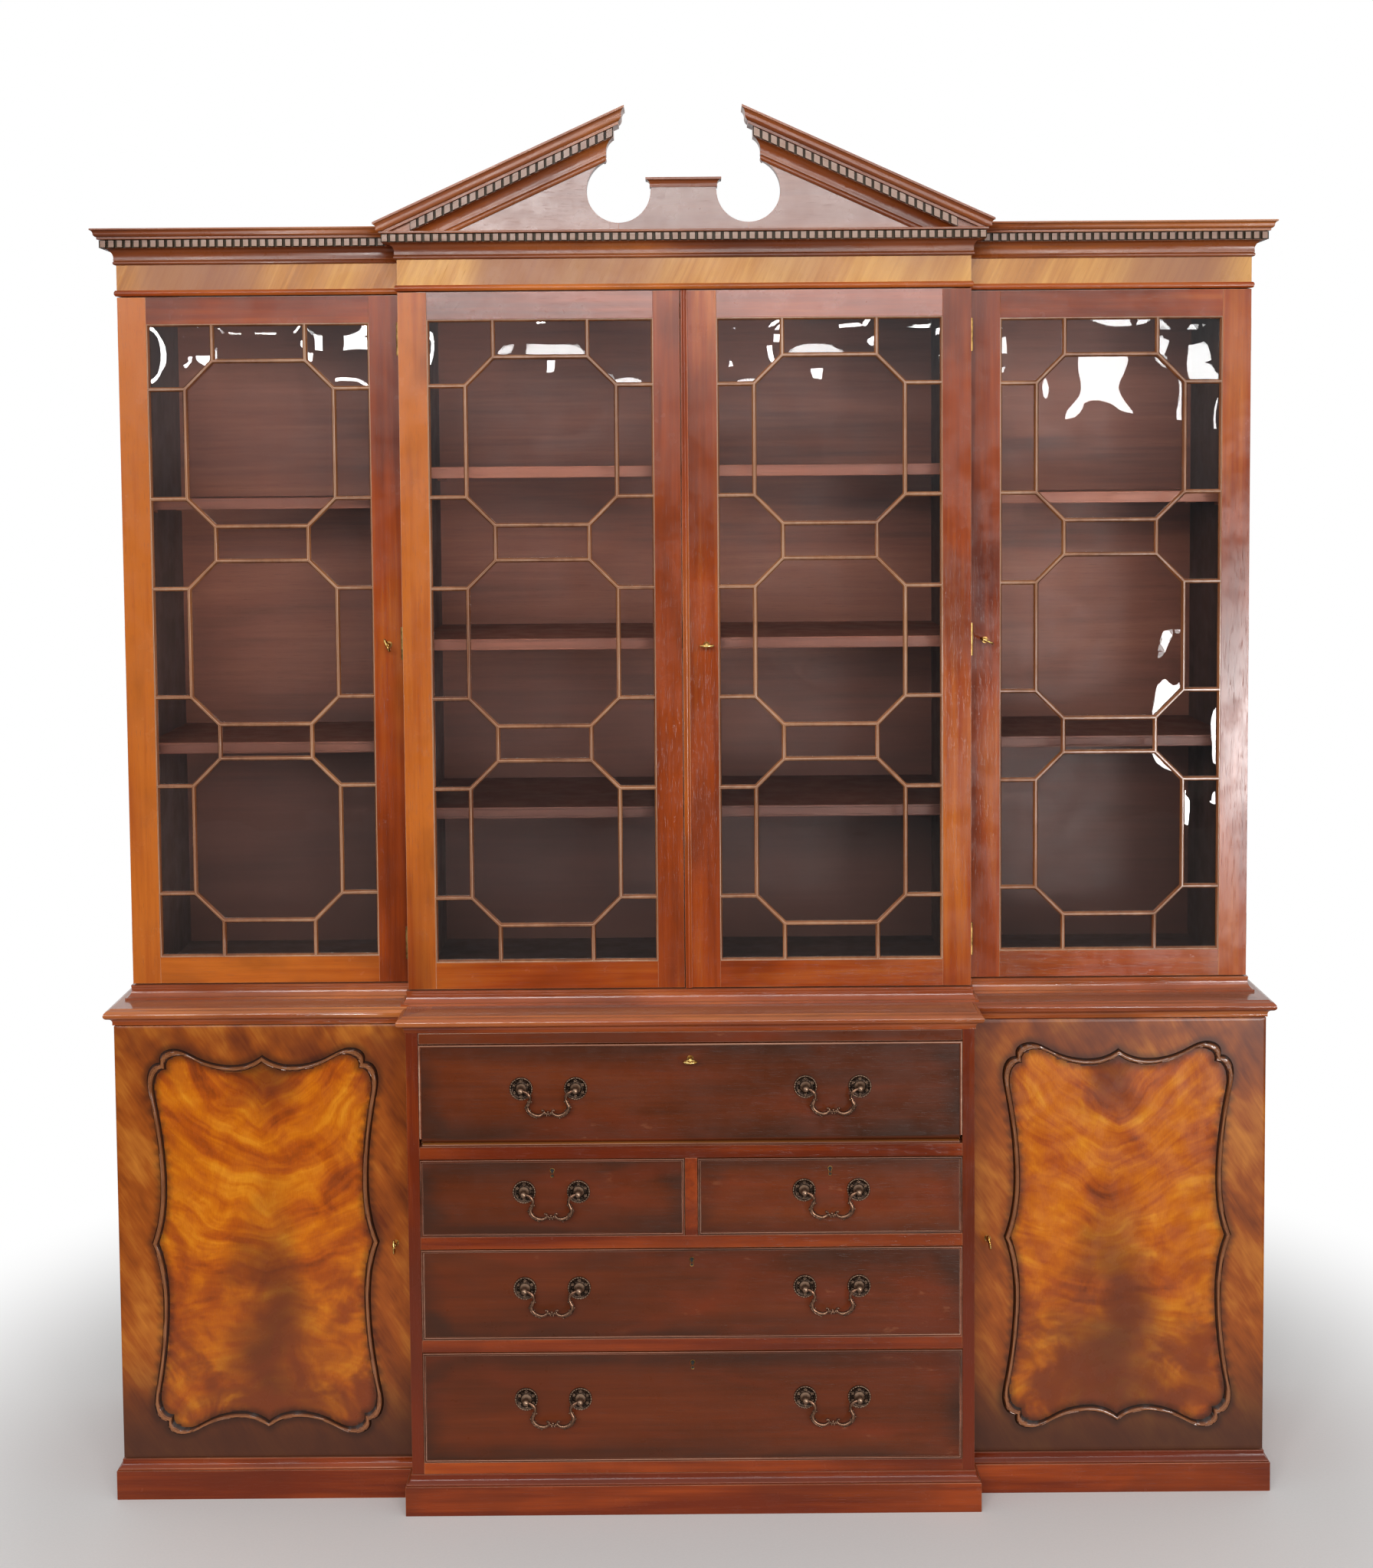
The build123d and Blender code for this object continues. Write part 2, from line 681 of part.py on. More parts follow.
def make_cornice():
    """The level cornice: seven mitred lengths, each with its dentil strip."""
    full = outline((0, 0), cornice_steps(True))
    plain = outline((0, 0), cornice_steps(False))
    pieces = moulding(full, upper_path, z_cornice, cornice_reach, other_runs)
    pieces += moulding(plain, upper_path, z_cornice, cornice_reach, [centre_front])
    # Fronts run past the outer corners; sides stop behind the fronts' strips
    tip, root = dentil_reach, dentil_band_reach
    centre_y, wing_y = y_upper_centre, y_upper_wing
    centre_x = x_upper_centre + tip
    pieces.append(dentil_strip((-centre_x, centre_y), (centre_x, centre_y), z_dentils))
    for side in (-1, 1):
        wing = sorted((side * (x_upper + tip), side * (x_upper_centre + tip)))
        pieces.append(dentil_strip((wing[0], wing_y), (wing[1], wing_y), z_dentils))
        runs = [((side * x_upper, y_back), (side * x_upper, wing_y - root)),
                ((side * x_upper_centre, wing_y - root), (side * x_upper_centre, centre_y - root))]
        for start, end in runs:
            pieces.append(dentil_strip(*((start, end) if side < 0 else (end, start)), z_dentils))
    save("cornice", *pieces)


def rake_top(x):
    """Height of the front top edge of the left raking cornice above a place on the width."""
    return z_cornice_top + rake_rise * (x + x_upper_centre + cornice_reach)


def rake_steps():
    """The raking cornice's section, cut upright: two beads, cove, dentil band, corona and cyma."""
    foot = -rake_depth
    bead_top = foot + rake_bead_height
    fillet_top = bead_top + rake_fillet_height
    cove_top = fillet_top + rake_cove_height
    band_top = cove_top + rake_dentil_height
    corona_top = band_top + rake_corona_height
    cyma_top = corona_top + rake_cyma_height
    middle = ((cyma_foot + cyma_head) / 2, corona_top + rake_cyma_height / 2)
    return foot, cove_top, [
        (bead_reach, foot), (bead_reach, bead_top, bead_bulge_share / 2), (cove_foot, bead_top),
        (cove_foot, fillet_top), (cove_head, cove_top, -cove_hollow_share),
        (dentil_band_reach, cove_top), (dentil_band_reach, band_top),
        (corona_reach, band_top), (corona_reach, corona_top), (cyma_foot, corona_top),
        (*middle, moulding_bulge_share), (cyma_head, cyma_top, -moulding_bulge_share),
        (cornice_reach, cyma_top), (cornice_reach, 0), (0, 0)]


def both_halves(pieces):
    """The left pieces and their mirror images on the right."""
    return pieces + [mirror(piece, Plane.YZ) for piece in pieces]


def make_pediment_mouldings():
    """The two raking cornices of the broken pediment, each with its return, and the pedestal's cap."""
    foot, band_low, steps = rake_steps()
    back = y_upper_centre + pediment_board_thickness
    low_x = -x_upper_centre - 2 * cornice_reach
    high_x = -x_rake_end + 2 * cornice_reach
    way = Vector(1, 0, rake_rise)
    upright = Plane(origin=(low_x, y_upper_centre, rake_top(low_x)), x_dir=(0, -1, 0), z_dir=(-1, 0, 0))
    front = extrude(upright * outline((0, foot), steps), (high_x - low_x) * way.length, dir=way)
    end = Plane(origin=(-x_rake_end, y_upper_centre, 0), z_dir=(1, 1, 0))
    front = split(front, end, Keep.BOTTOM)
    front = split(front, Plane(origin=(-x_upper_centre, y_upper_centre, 0), z_dir=(1, -1, 0)), Keep.TOP)
    level = Plane(origin=(0, 0, z_cyma))
    front = split(front, level, Keep.TOP)
    section = outline((0, foot), steps, rise=rake_rise)
    turn = Plane(origin=(-x_rake_end, back, rake_top(-x_rake_end)), x_dir=(1, 0, 0), z_dir=(0, -1, 0))
    end_return = extrude(turn * section, back - y_upper_centre + 2 * cornice_reach)
    end_return = split(end_return, end, Keep.TOP)
    band = z_cyma - band_low - z_cornice_top
    strip_low = -x_upper_centre - cornice_reach + band / rake_rise
    strip_high = -x_rake_end + dentil_band_reach
    root, tip = dentil_band_reach + dentil_backing, dentil_reach
    points = tooth_line(strip_low, strip_high, root, tip, dentil_pitch, dentil_width)
    points += [(strip_high, dentil_band_reach), (strip_low, dentil_band_reach)]
    comb = make_face(Polyline([(x, y_upper_centre - out, rake_top(x) + band_low + dentil_margin)
                               for x, out in points], close=True))
    strip = extrude(comb, (rake_dentil_height - 2 * dentil_margin), dir=(0, 0, 1))
    save("pediment_mouldings", *both_halves([front, end_return, strip]), *pedestal_cap())


def pedestal_cap():
    """A small mitred cap moulding round the top of the pedestal, and the block inside it."""
    pedestal = pedestal_width / 2
    front, back = y_upper_centre, y_upper_centre + pediment_board_thickness
    top = z_cyma + pedestal_top_height - pedestal_cap_height
    path = [(-pedestal, back), (-pedestal, front), (pedestal, front), (pedestal, back)]
    cap = pedestal_cap_height
    fillet_low = cap - pedestal_cap_fillet
    section = outline((0, 0), [(bead_reach, 0), (bead_reach, bead_reach),
                               (pedestal_cap_reach - bead_reach, fillet_low, -cove_hollow_share),
                               (pedestal_cap_reach, fillet_low), (pedestal_cap_reach, cap), (0, cap)])
    core = block((-pedestal, pedestal), (front, back), (top, top + cap))
    return moulding(section, path, top, pedestal_cap_reach) + [core]


def make_tympanum():
    """The pediment board: two sides and a pedestal, joined under the two round cut-outs."""
    low_x = -x_upper_centre + frieze_board_thickness
    pedestal = pedestal_width / 2
    top = z_cyma + pedestal_top_height - pedestal_cap_height
    half = [(low_x, z_cyma), (low_x, rake_top(low_x)), (-x_rake_end, rake_top(-x_rake_end)),
            (-x_rake_end, z_circle), (-pedestal, z_circle), (-pedestal, top)]
    around = half + [(-x, z) for x, z in reversed(half)]
    front = y_upper_centre
    face = make_face(Polyline([(x, front, z) for x, z in around], close=True))
    board = extrude(face, pediment_board_thickness, dir=(0, 1, 0))
    behind = front + pediment_board_thickness + overrun
    for x in (-x_circle, x_circle):
        board -= rod((x, front - overrun, z_circle), (x, behind, z_circle), circle_radius)
    joints = [Plane(origin=(x, front, z_circle), z_dir=(1, 0, 0)) for x in (-x_circle, x_circle)]
    left = split(board, joints[0], Keep.BOTTOM)
    middle = split(split(board, joints[0], Keep.TOP), joints[1], Keep.BOTTOM)
    right = split(board, joints[1], Keep.TOP)
    save("tympanum", left, middle, right)


def hinge(edge, inward, joint_y, z_middle):
    """A butt hinge on an upright joint: its fixed half with the pin, its moving half, and both recesses.

    Edge is the place of the outer face of the case, and inward is the way towards the door's middle.
    """
    axis_x = edge - inward * hinge_axis_out
    low, high = z_middle - hinge_length / 2, z_middle + hinge_length / 2
    third = hinge_length / 3
    gap = hinge_knuckle_gap
    leaf_x = (edge, edge + inward * hinge_leaf_width)
    tab_x = (axis_x, edge + inward * overrun)
    fixed_y = (joint_y + hinge_leaf_gap, joint_y + hinge_leaf_gap + hinge_leaf_thickness)
    moving_y = (joint_y - hinge_leaf_gap - hinge_leaf_thickness, joint_y - hinge_leaf_gap)
    fixed = block(leaf_x, fixed_y, (low, high)) + rod((axis_x, joint_y, low), (axis_x, joint_y, high),
                                                      hinge_pin_radius)
    for z in ((low, low + third - gap / 2), (high - third + gap / 2, high)):
        fixed += rod((axis_x, joint_y, z[0]), (axis_x, joint_y, z[1]), hinge_knuckle_radius)
        fixed += block(tab_x, fixed_y, z)
    z = (low + third + gap / 2, high - third - gap / 2)
    moving = block(leaf_x, moving_y, (low, high)) + block(tab_x, moving_y, z)
    moving += rod((axis_x, joint_y, z[0]), (axis_x, joint_y, z[1]), hinge_knuckle_radius)
    moving -= rod((axis_x, joint_y, low), (axis_x, joint_y, high), hinge_pin_radius + pin_clearance)
    cut_x = (edge - inward * overrun, leaf_x[1])
    fixed_cut = block(cut_x, (joint_y, fixed_y[1]), (low, high))
    moving_cut = block(cut_x, (moving_y[0], joint_y), (low, high))
    return fixed, moving, fixed_cut, moving_cut


def hinge_levels(low, high, inset, count):
    """Heights of evenly spread hinges between a door's ends."""
    first, last = low + inset, high - inset
    return [first + number * (last - first) / (count - 1) for number in range(count)]


def make_hinges():
    """The fixed halves of all the door hinges; returns the cuts in both cases and each door's halves."""
    doors = {}
    fixed_all, upper_cuts, lower_cuts = [], [], []
    plan = [("left_wing_door", -x_upper, 1, y_glazed_joint_wing, upper_cuts),
            ("left_centre_door", -x_upper_centre, 1, y_glazed_joint_centre, upper_cuts),
            ("right_centre_door", x_upper_centre, -1, y_glazed_joint_centre, upper_cuts),
            ("right_wing_door", x_upper, -1, y_glazed_joint_wing, upper_cuts),
            ("left_cupboard_door", -x_lower, 1, y_cupboard_joint, lower_cuts),
            ("right_cupboard_door", x_lower, -1, y_cupboard_joint, lower_cuts)]
    for name, edge, inward, joint_y, cuts in plan:
        if cuts is upper_cuts:
            levels = hinge_levels(z_door, z_door_top, door_hinge_inset, door_hinge_count)
        else:
            levels = hinge_levels(z_lower + door_gap, z_lower_top - door_gap, cupboard_hinge_inset,
                                  cupboard_hinge_count)
        halves = [hinge(edge, inward, joint_y, z) for z in levels]
        fixed_all += [half[0] for half in halves]
        cuts += [half[2] for half in halves]
        doors[name] = ([half[1] for half in halves], [half[3] for half in halves])
    save("case_hinges", *fixed_all)
    return upper_cuts, lower_cuts, doors


def on_border(start, end, sight_width):
    """True if an edge of a pane lies on the sight opening's border."""
    same_x = start[0] == end[0] and start[0] in (0, sight_width)
    same_z = start[1] == end[1] and start[1] in (0, sight_height)
    return same_x or same_z


def inset(points, inner, outer, sight_width):
    """A convex outline drawn in by one distance inside the lattice and by another along the border."""
    lines = []
    for start, end in zip(points, points[1:] + points[:1]):
        dx, dz = end[0] - start[0], end[1] - start[1]
        length = math.hypot(dx, dz)
        away = outer if on_border(start, end, sight_width) else inner
        normal = (-dz / length, dx / length)
        lines.append((normal, normal[0] * start[0] + normal[1] * start[1] + away))
    corners = []
    for (a, p), (b, q) in zip(lines[-1:] + lines[:-1], lines):
        det = a[0] * b[1] - a[1] * b[0]
        corners.append(((p * b[1] - q * a[1]) / det, (a[0] * q - b[0] * p) / det))
    return corners


def panes(sight_width):
    """Outlines of the glazing pattern's cells inside the sight opening, each turning the same way."""
    margin, chamfer = glazing_margin_share * sight_width, glazing_chamfer_share * sight_width
    gap = glazing_gap
    height = (sight_height - 2 * margin - (octagon_count - 1) * gap) / octagon_count
    left, right = margin, sight_width - margin
    near, far = left + chamfer, right - chamfer
    lows = [margin + number * (height + gap) for number in range(octagon_count)]
    cells = []
    for low in lows:
        high = low + height
        cells.append([(near, low), (far, low), (right, low + chamfer), (right, high - chamfer),
                      (far, high), (near, high), (left, high - chamfer), (left, low + chamfer)])
        cells.append([(0, low + chamfer), (left, low + chamfer), (left, high - chamfer), (0, high - chamfer)])
        cells.append([(right, low + chamfer), (sight_width, low + chamfer),
                      (sight_width, high - chamfer), (right, high - chamfer)])
    belows = [None] + [low + height for low in lows]
    aboves = lows + [None]
    for below, above in zip(belows, aboves):
        low = 0 if below is None else below
        high = sight_height if above is None else above
        cells.append([(near, low), (far, low), (far, high), (near, high)])
        corner = ([(0, 0), (near, 0)] if below is None
                  else [(0, low - chamfer), (left, low - chamfer), (near, low)])
        corner += ([(near, high), (0, high)] if above is None
                   else [(near, high), (left, high + chamfer), (0, high + chamfer)])
        cells.append(corner)
        cells.append([(sight_width - x, z) for x, z in reversed(corner)])
    return cells


def upright_face(points, y):
    return make_face(Polyline([(x, y, z) for x, z in points], close=True))


def upright_prism(points, y):
    """A plate between two depths with an outline drawn as (across, up)."""
    return extrude(upright_face(points, y[0]), y[1] - y[0], dir=(0, 1, 0))


def make_lattice(sight_width):
    """Glazing bars and panes of one door, with the sight opening's lower left corner at the origin."""
    half = bar_width / 2
    bevel_back = bar_front + bar_bevel
    plate = block((0, sight_width), (bar_front, glass_front), (0, sight_height))
    web = block((0, sight_width), (glass_front, glass_front + web_depth), (0, sight_height))
    glass = []
    for cell in panes(sight_width):
        deep = inset(cell, half, half, sight_width)
        plate -= upright_prism(deep, (bevel_back, glass_front + overrun))
        wide = inset(cell, bar_nose / 2, bar_nose / 2, sight_width)
        plate -= loft([upright_face(wide, bar_front), upright_face(deep, bevel_back)], ruled=True)
        hole = inset(cell, web_width / 2, -overrun, sight_width)
        web -= upright_prism(hole, (glass_front - overrun, glass_front + web_depth + overrun))
        edge = inset(cell, web_width / 2 + glass_clearance, -glass_in_rebate, sight_width)
        glass.append(upright_prism(edge, (glass_front, glass_front + glass_thickness)))
    return plate + web, glass


def keyway(x, face, z, depth):
    """The cut for a key's shank and its escutcheon, and the escutcheon itself."""
    bore = rod((x, face - overrun, z), (x, face + depth, z), keyhole_radius)
    seat = rod((x, face - overrun, z), (x, face + escutcheon_depth, z), escutcheon_radius)
    ring = rod((x, face - escutcheon_reach, z), (x, face + escutcheon_depth, z), escutcheon_radius)
    return bore, seat, ring - bore


def lock_block(x, back, z, bore):
    """A lock let in flush with the back of a door or drawer front, drilled for the key."""
    body = block((x - lock_width / 2, x + lock_width / 2), (back - lock_depth, back),
                 (z - lock_height / 2, z + lock_height / 2))
    return body - bore, body


def make_glazed_door(name, edge, inward, width, face, lock_stile, hinges, key_x=None, bead=False):
    """One glazed door: frame, glazing bars, panes and its own brass."""
    sight_width = width - hinge_stile - lock_stile
    bars, glass = make_lattice(sight_width)
    moving, cuts = hinges
    y = (face, face + door_thickness)
    sight = sorted((edge + inward * hinge_stile, edge + inward * (hinge_stile + sight_width)))
    outer = sorted((edge, edge + inward * width))
    z_low, z_high = z_door + door_rail, z_door_top - door_rail
    rebate = block((sight[0] - rebate_width, sight[1] + rebate_width),
                   (face + glass_front, y[1] + overrun), (z_low - rebate_width, z_high + rebate_width))
    tools = [rebate] + cuts
    brass = list(moving)
    if key_x is not None:
        bore, seat, ring = keyway(key_x, face, door_key_height, key_shank_in + overrun)
        lock, recess = lock_block(key_x, y[1], door_key_height, bore)
        tools += [bore, seat, recess]
        brass += [ring, lock]
    z_all = (z_door, z_door_top)
    pieces = [block((outer[0], sight[0]), y, z_all), block((sight[1], outer[1]), y, z_all),
              block(tuple(sight), y, (z_door, z_low)), block(tuple(sight), y, (z_high, z_door_top))]
    pieces = [piece - tools for piece in pieces]
    if bead:
        low, high = outer[0], outer[0] + meeting_bead_width
        step = meeting_bead_fillet
        section = [(low, face), (low, face - step), (low + step, face - step)]
        arc = ThreePointArc((low + step, face - step), ((low + high) / 2, face - meeting_bead_reach),
                            (high - step, face - step))
        tail = [(high - step, face - step), (high, face - step), (high, face), (low, face)]
        plan = make_face([Polyline(section), arc, Polyline(tail)])
        pieces.append(extrude(Pos(0, 0, z_door) * plan, glazed_door_height, dir=(0, 0, 1)))
    place = Pos(sight[0], face, z_low)
    save(f"{name}_frame", *pieces)
    save(f"{name}_glazing_bars", place * bars)
    save(f"{name}_panes", *[place * pane for pane in glass])
    save(f"{name}_brass", *brass)


def panel_outline(inset_by, z):
    """The shaped moulding's outline drawn in by a distance, from one quarter mirrored twice."""
    half_width = panel_half_width - inset_by
    half_height = panel_half_height - inset_by

    def at(shares, right, up):
        return (right * shares[0] * half_width, up * shares[1] * half_height, z)

    edges = []
    for right, up in ((1, 1), (1, -1), (-1, -1), (-1, 1)):
        top = [at(s, right, up) for s in (cusp_shares, dip_shares, rise_shares, ear_top_shares,
                                          ear_top_turn_shares, notch_shares)]
        side = [at(s, right, up) for s in (notch_shares, ear_side_turn_shares, ear_side_shares, shoulder_shares,
                                           waist_shares, side_cusp_shares)]
        edges += [Spline(*top), Spline(*side)] if right == up else [Spline(*side[::-1]), Spline(*top[::-1])]
    return make_face(edges)


def panel_moulding():
    """The applied moulding of a cupboard door, drawn flat round the origin and standing out along +Z."""
    width, bevel, reach = panel_moulding_width, panel_moulding_bevel, panel_moulding_reach
    outer = loft([panel_outline(0, 0), panel_outline(bevel, reach)], ruled=True)
    hole = loft([panel_outline(width, 0), panel_outline(width - bevel, reach)], ruled=True)
    return outer - hole


def make_cupboard_door(name, edge, inward, hinges, key_x):
    """One veneered cupboard door with its applied shaped moulding, and its brass."""
    moving, cuts = hinges
    face = y_lower_wing
    outer = sorted((edge, edge + inward * cupboard_door_width))
    z = (z_lower + door_gap, z_lower_top - door_gap)
    board = block(tuple(outer), (face, face + cupboard_door_thickness), z)
    bore, seat, ring = keyway(key_x, face, cupboard_key_height, key_shank_in + overrun)
    lock, recess = lock_block(key_x, face + cupboard_door_thickness, cupboard_key_height, bore)
    board -= [bore, seat, recess] + cuts
    middle = ((outer[0] + outer[1]) / 2, face, (z[0] + z[1]) / 2)
    place = Plane(origin=middle, x_dir=(1, 0, 0), z_dir=(0, -1, 0))
    save(name, board, place * panel_moulding())
    save(f"{name}_brass", *moving, ring, lock)


def cockbead(x, z, face):
    """A rounded bead let in round the edge of a drawer front, as one mitred frame."""
    y = (face - cockbead_reach, face + cockbead_depth)
    inner_x = (x[0] + cockbead_thickness, x[1] - cockbead_thickness)
    inner_z = (z[0] + cockbead_thickness, z[1] - cockbead_thickness)
    frame = block(x, y, z) - block(inner_x, (y[0] - overrun, y[1] + overrun), inner_z)
    return frame


def drawer_handle_brass(x, face, z):
    """Two roses with posts for one bail: the fixed part of a handle."""
    pieces = []
    for side in (-1, 1):
        at = x + side * handle_spread / 2
        rose = rod((at, face, z), (at, face - rose_thickness, z), rose_radius)
        dome_end = face - rose_thickness - rose_dome_height
        rose += rod((at, face, z), (at, dome_end, z), rose_dome_radius)
        rose += rod((at, face, z), (at, face - bail_pivot_reach, z), post_radius)
        rose += Pos(at, face - bail_pivot_reach, z) * Sphere(post_radius)
        inner = at - side * post_radius
        bore_start = (inner - side * overrun, face - bail_pivot_reach, z)
        bore_end = (inner + side * (bail_pin_depth + bail_inner_gap), face - bail_pivot_reach, z)
        pieces.append(rose - rod(bore_start, bore_end, bail_wire_radius + bail_bore_clearance))
    return pieces


def make_bail(name, x, face, z):
    """A swan-necked bail that hangs from its two posts."""
    pin_end = handle_spread / 2 - post_radius + bail_pin_depth
    half = [(pin_end, 0), (bail_neck_half, 0), (bail_knee_half, -bail_knee_drop),
            (bail_foot_half, -bail_drop), (0, -bail_cusp_drop)]
    points = [(-a, b) for a, b in half] + list(reversed(half[:-1]))
    y = face - bail_pivot_reach
    route = [(x + a, y, z + b) for a, b in points]
    bends = [bail_small_bend, bail_large_bend, bail_large_bend, bail_large_bend,
             bail_large_bend, bail_large_bend, bail_small_bend]
    path = FilletPolyline(*route, radius=bends)
    section = Plane(origin=route[0], z_dir=(1, 0, 0)) * Circle(bail_wire_radius)
    save(name, sweep(section, path))


def make_key(name, x, face, z, turn_deg):
    """A key in its lock: shank, collar and a pierced oval bow, turned about the shank."""
    shank = rod((0, key_shank_in, 0), (0, -key_shank_out - overrun, 0), key_shank_radius)
    shank += rod((0, -key_shank_out + key_collar_length, 0), (0, -key_shank_out, 0), key_collar_radius)
    bow = Ellipse(key_bow_width / 2, key_bow_length / 2)
    bow -= Ellipse(key_bow_width / 2 - key_bow_ring, key_bow_length / 2 - key_bow_ring)
    bow = extrude(Pos(0, -key_shank_out - key_bow_length / 2, -key_bow_thickness / 2) * bow,
                  key_bow_thickness)
    save(name, Pos(x, face, z) * (Rot(0, turn_deg, 0) * (shank + bow)))


def make_drawer(name, x, z, handles, keyhole_x, handle_z):
    """One drawer: dovetailed box, front, cockbead and its brass; and its bails."""
    face = y_lower_centre
    gap = drawer_gap
    front_x = (x[0] + gap, x[1] - gap)
    front_z = (z[0] + gap, z[1] - gap)
    inner_x = (front_x[0] + cockbead_thickness, front_x[1] - cockbead_thickness)
    inner_z = (front_z[0] + cockbead_thickness, front_z[1] - cockbead_thickness)
    front_back = face + drawer_front_thickness
    front = block(inner_x, (face, front_back), inner_z)
    behind = block(front_x, (face + cockbead_depth, front_back), front_z)
    keyhole_z = z[1] - keyhole_drop
    bore, seat, ring = keyway(keyhole_x, face, keyhole_z, key_shank_in + overrun)
    lock, recess = lock_block(keyhole_x, front_back, keyhole_z - lock_drop_share * lock_height, bore)
    lock_limit = block(front_x, (face, front_back), front_z)
    lock, recess = lock & lock_limit, recess & lock_limit
    front = front + behind - [bore, seat, recess]
    back_y = y_back - back_thickness - drawer_back_space
    side_z = (z[0] + runner_clearance, z[1] - drawer_side_drop)
    side_y = (front_back, back_y)
    box_x = (x[0] + drawer_side_clearance, x[1] - drawer_side_clearance)
    left = block((box_x[0], box_x[0] + drawer_side_thickness), side_y, side_z)
    right = block((box_x[1] - drawer_side_thickness, box_x[1]), side_y, side_z)
    inside = (box_x[0] + drawer_side_thickness, box_x[1] - drawer_side_thickness)
    rear = block(inside, (back_y - drawer_back_thickness, back_y), side_z)
    floor_z = (side_z[0] + drawer_bottom_inset, side_z[0] + drawer_bottom_inset + drawer_bottom_thickness)
    floor = block(inside, (front_back, back_y - drawer_back_thickness), floor_z)
    save(name, front, cockbead(front_x, front_z, face), left, right, rear, floor)
    brass = [ring, lock]
    for number, handle_x in enumerate(handles):
        brass += drawer_handle_brass(handle_x, face, handle_z)
    save(f"{name}_brass", *brass)


def secretaire_inside():
    """Spans of the space inside the secretaire's box."""
    wall = drawer_side_clearance + secretaire_side_thickness
    x = (-x_opening + wall, x_opening - wall)
    back_y = y_back - back_thickness - drawer_back_space
    y = (y_lower_centre + fall_thickness + fall_hinge_gap, back_y - drawer_back_thickness)
    return x, y, (z_desk, z_lower_top - drawer_gap - secretaire_roof_thickness)


def make_secretaire_box():
    """The box of the secretaire: floor, sides, back, roof, the bead under the fall and the rail over it."""
    x, y, z = secretaire_inside()
    side_y = (y[0], y[1] + drawer_back_thickness)
    low = z_secretaire + runner_clearance
    top = z[1] + secretaire_roof_thickness
    wall = secretaire_side_thickness
    floor = block(x, y, (z_desk - secretaire_floor_thickness, z_desk))
    floor -= [fall_hinge(place)[0] for place in fall_hinge_places()]
    slot_width = 2 * quadrant_gap + quadrant_thickness
    slot_y = (y_fall_axis + quadrant_inner - quadrant_slot_margin,
              y_fall_axis + quadrant_outer + quadrant_slot_margin)
    for edge, inward in ((x[0], 1), (x[1], -1)):
        floor -= block((edge, edge + inward * slot_width), slot_y, (low, z_desk + overrun))
    sides = [block((x[0] - wall, x[0]), side_y, (low, top)), block((x[1], x[1] + wall), side_y, (low, top))]
    rear = block(x, (y[1], side_y[1]), (low, top))
    roof = block(x, (y[0], y[1]), (z[1], top))
    bead_z = (z_secretaire + drawer_gap, z_secretaire + drawer_gap + cockbead_thickness)
    bead_half = x_opening - drawer_gap - cockbead_thickness - fall_hinge_gap
    bead_x = (-bead_half, bead_half)
    face = y_lower_centre
    bead = block(bead_x, (face - cockbead_reach, y[0]), bead_z)
    batten = block(x, (y[0], face + secretaire_bead_depth), (bead_z[0], z_desk - secretaire_floor_thickness))
    head_half = x_opening - drawer_gap
    head = block((-head_half, head_half), (face, y[0]), (z_head, top))
    save("secretaire_box", floor, *sides, rear, roof, bead + batten, head)


def fall_hinge_places():
    spread = x_opening - fall_hinge_inset
    return (-spread, 0, spread)


def fall_hinge(x):
    """The lug and pin that carry the fall, and the notch and bore that they need in it."""
    y, z = y_fall_axis, z_fall_axis
    floor_edge = y_lower_centre + fall_thickness + fall_hinge_gap
    half = fall_lug_width / 2
    thick = fall_lug_thickness / 2
    plate = block((x - half, x + half), (y, floor_edge + fall_lug_width), (z - thick, z + thick))
    pin = rod((x - fall_pin_length / 2, y, z), (x + fall_pin_length / 2, y, z), fall_pin_radius)
    wide = half + fall_hinge_gap
    deep = thick + fall_hinge_gap
    notch = block((x - wide, x + wide), (y - deep, floor_edge + overrun), (z_fall - overrun, z + deep))
    reach = fall_pin_length / 2 + fall_hinge_gap
    bore = rod((x - reach, y, z), (x + reach, y, z), fall_pin_radius + pin_clearance)
    return plate + pin, notch + bore


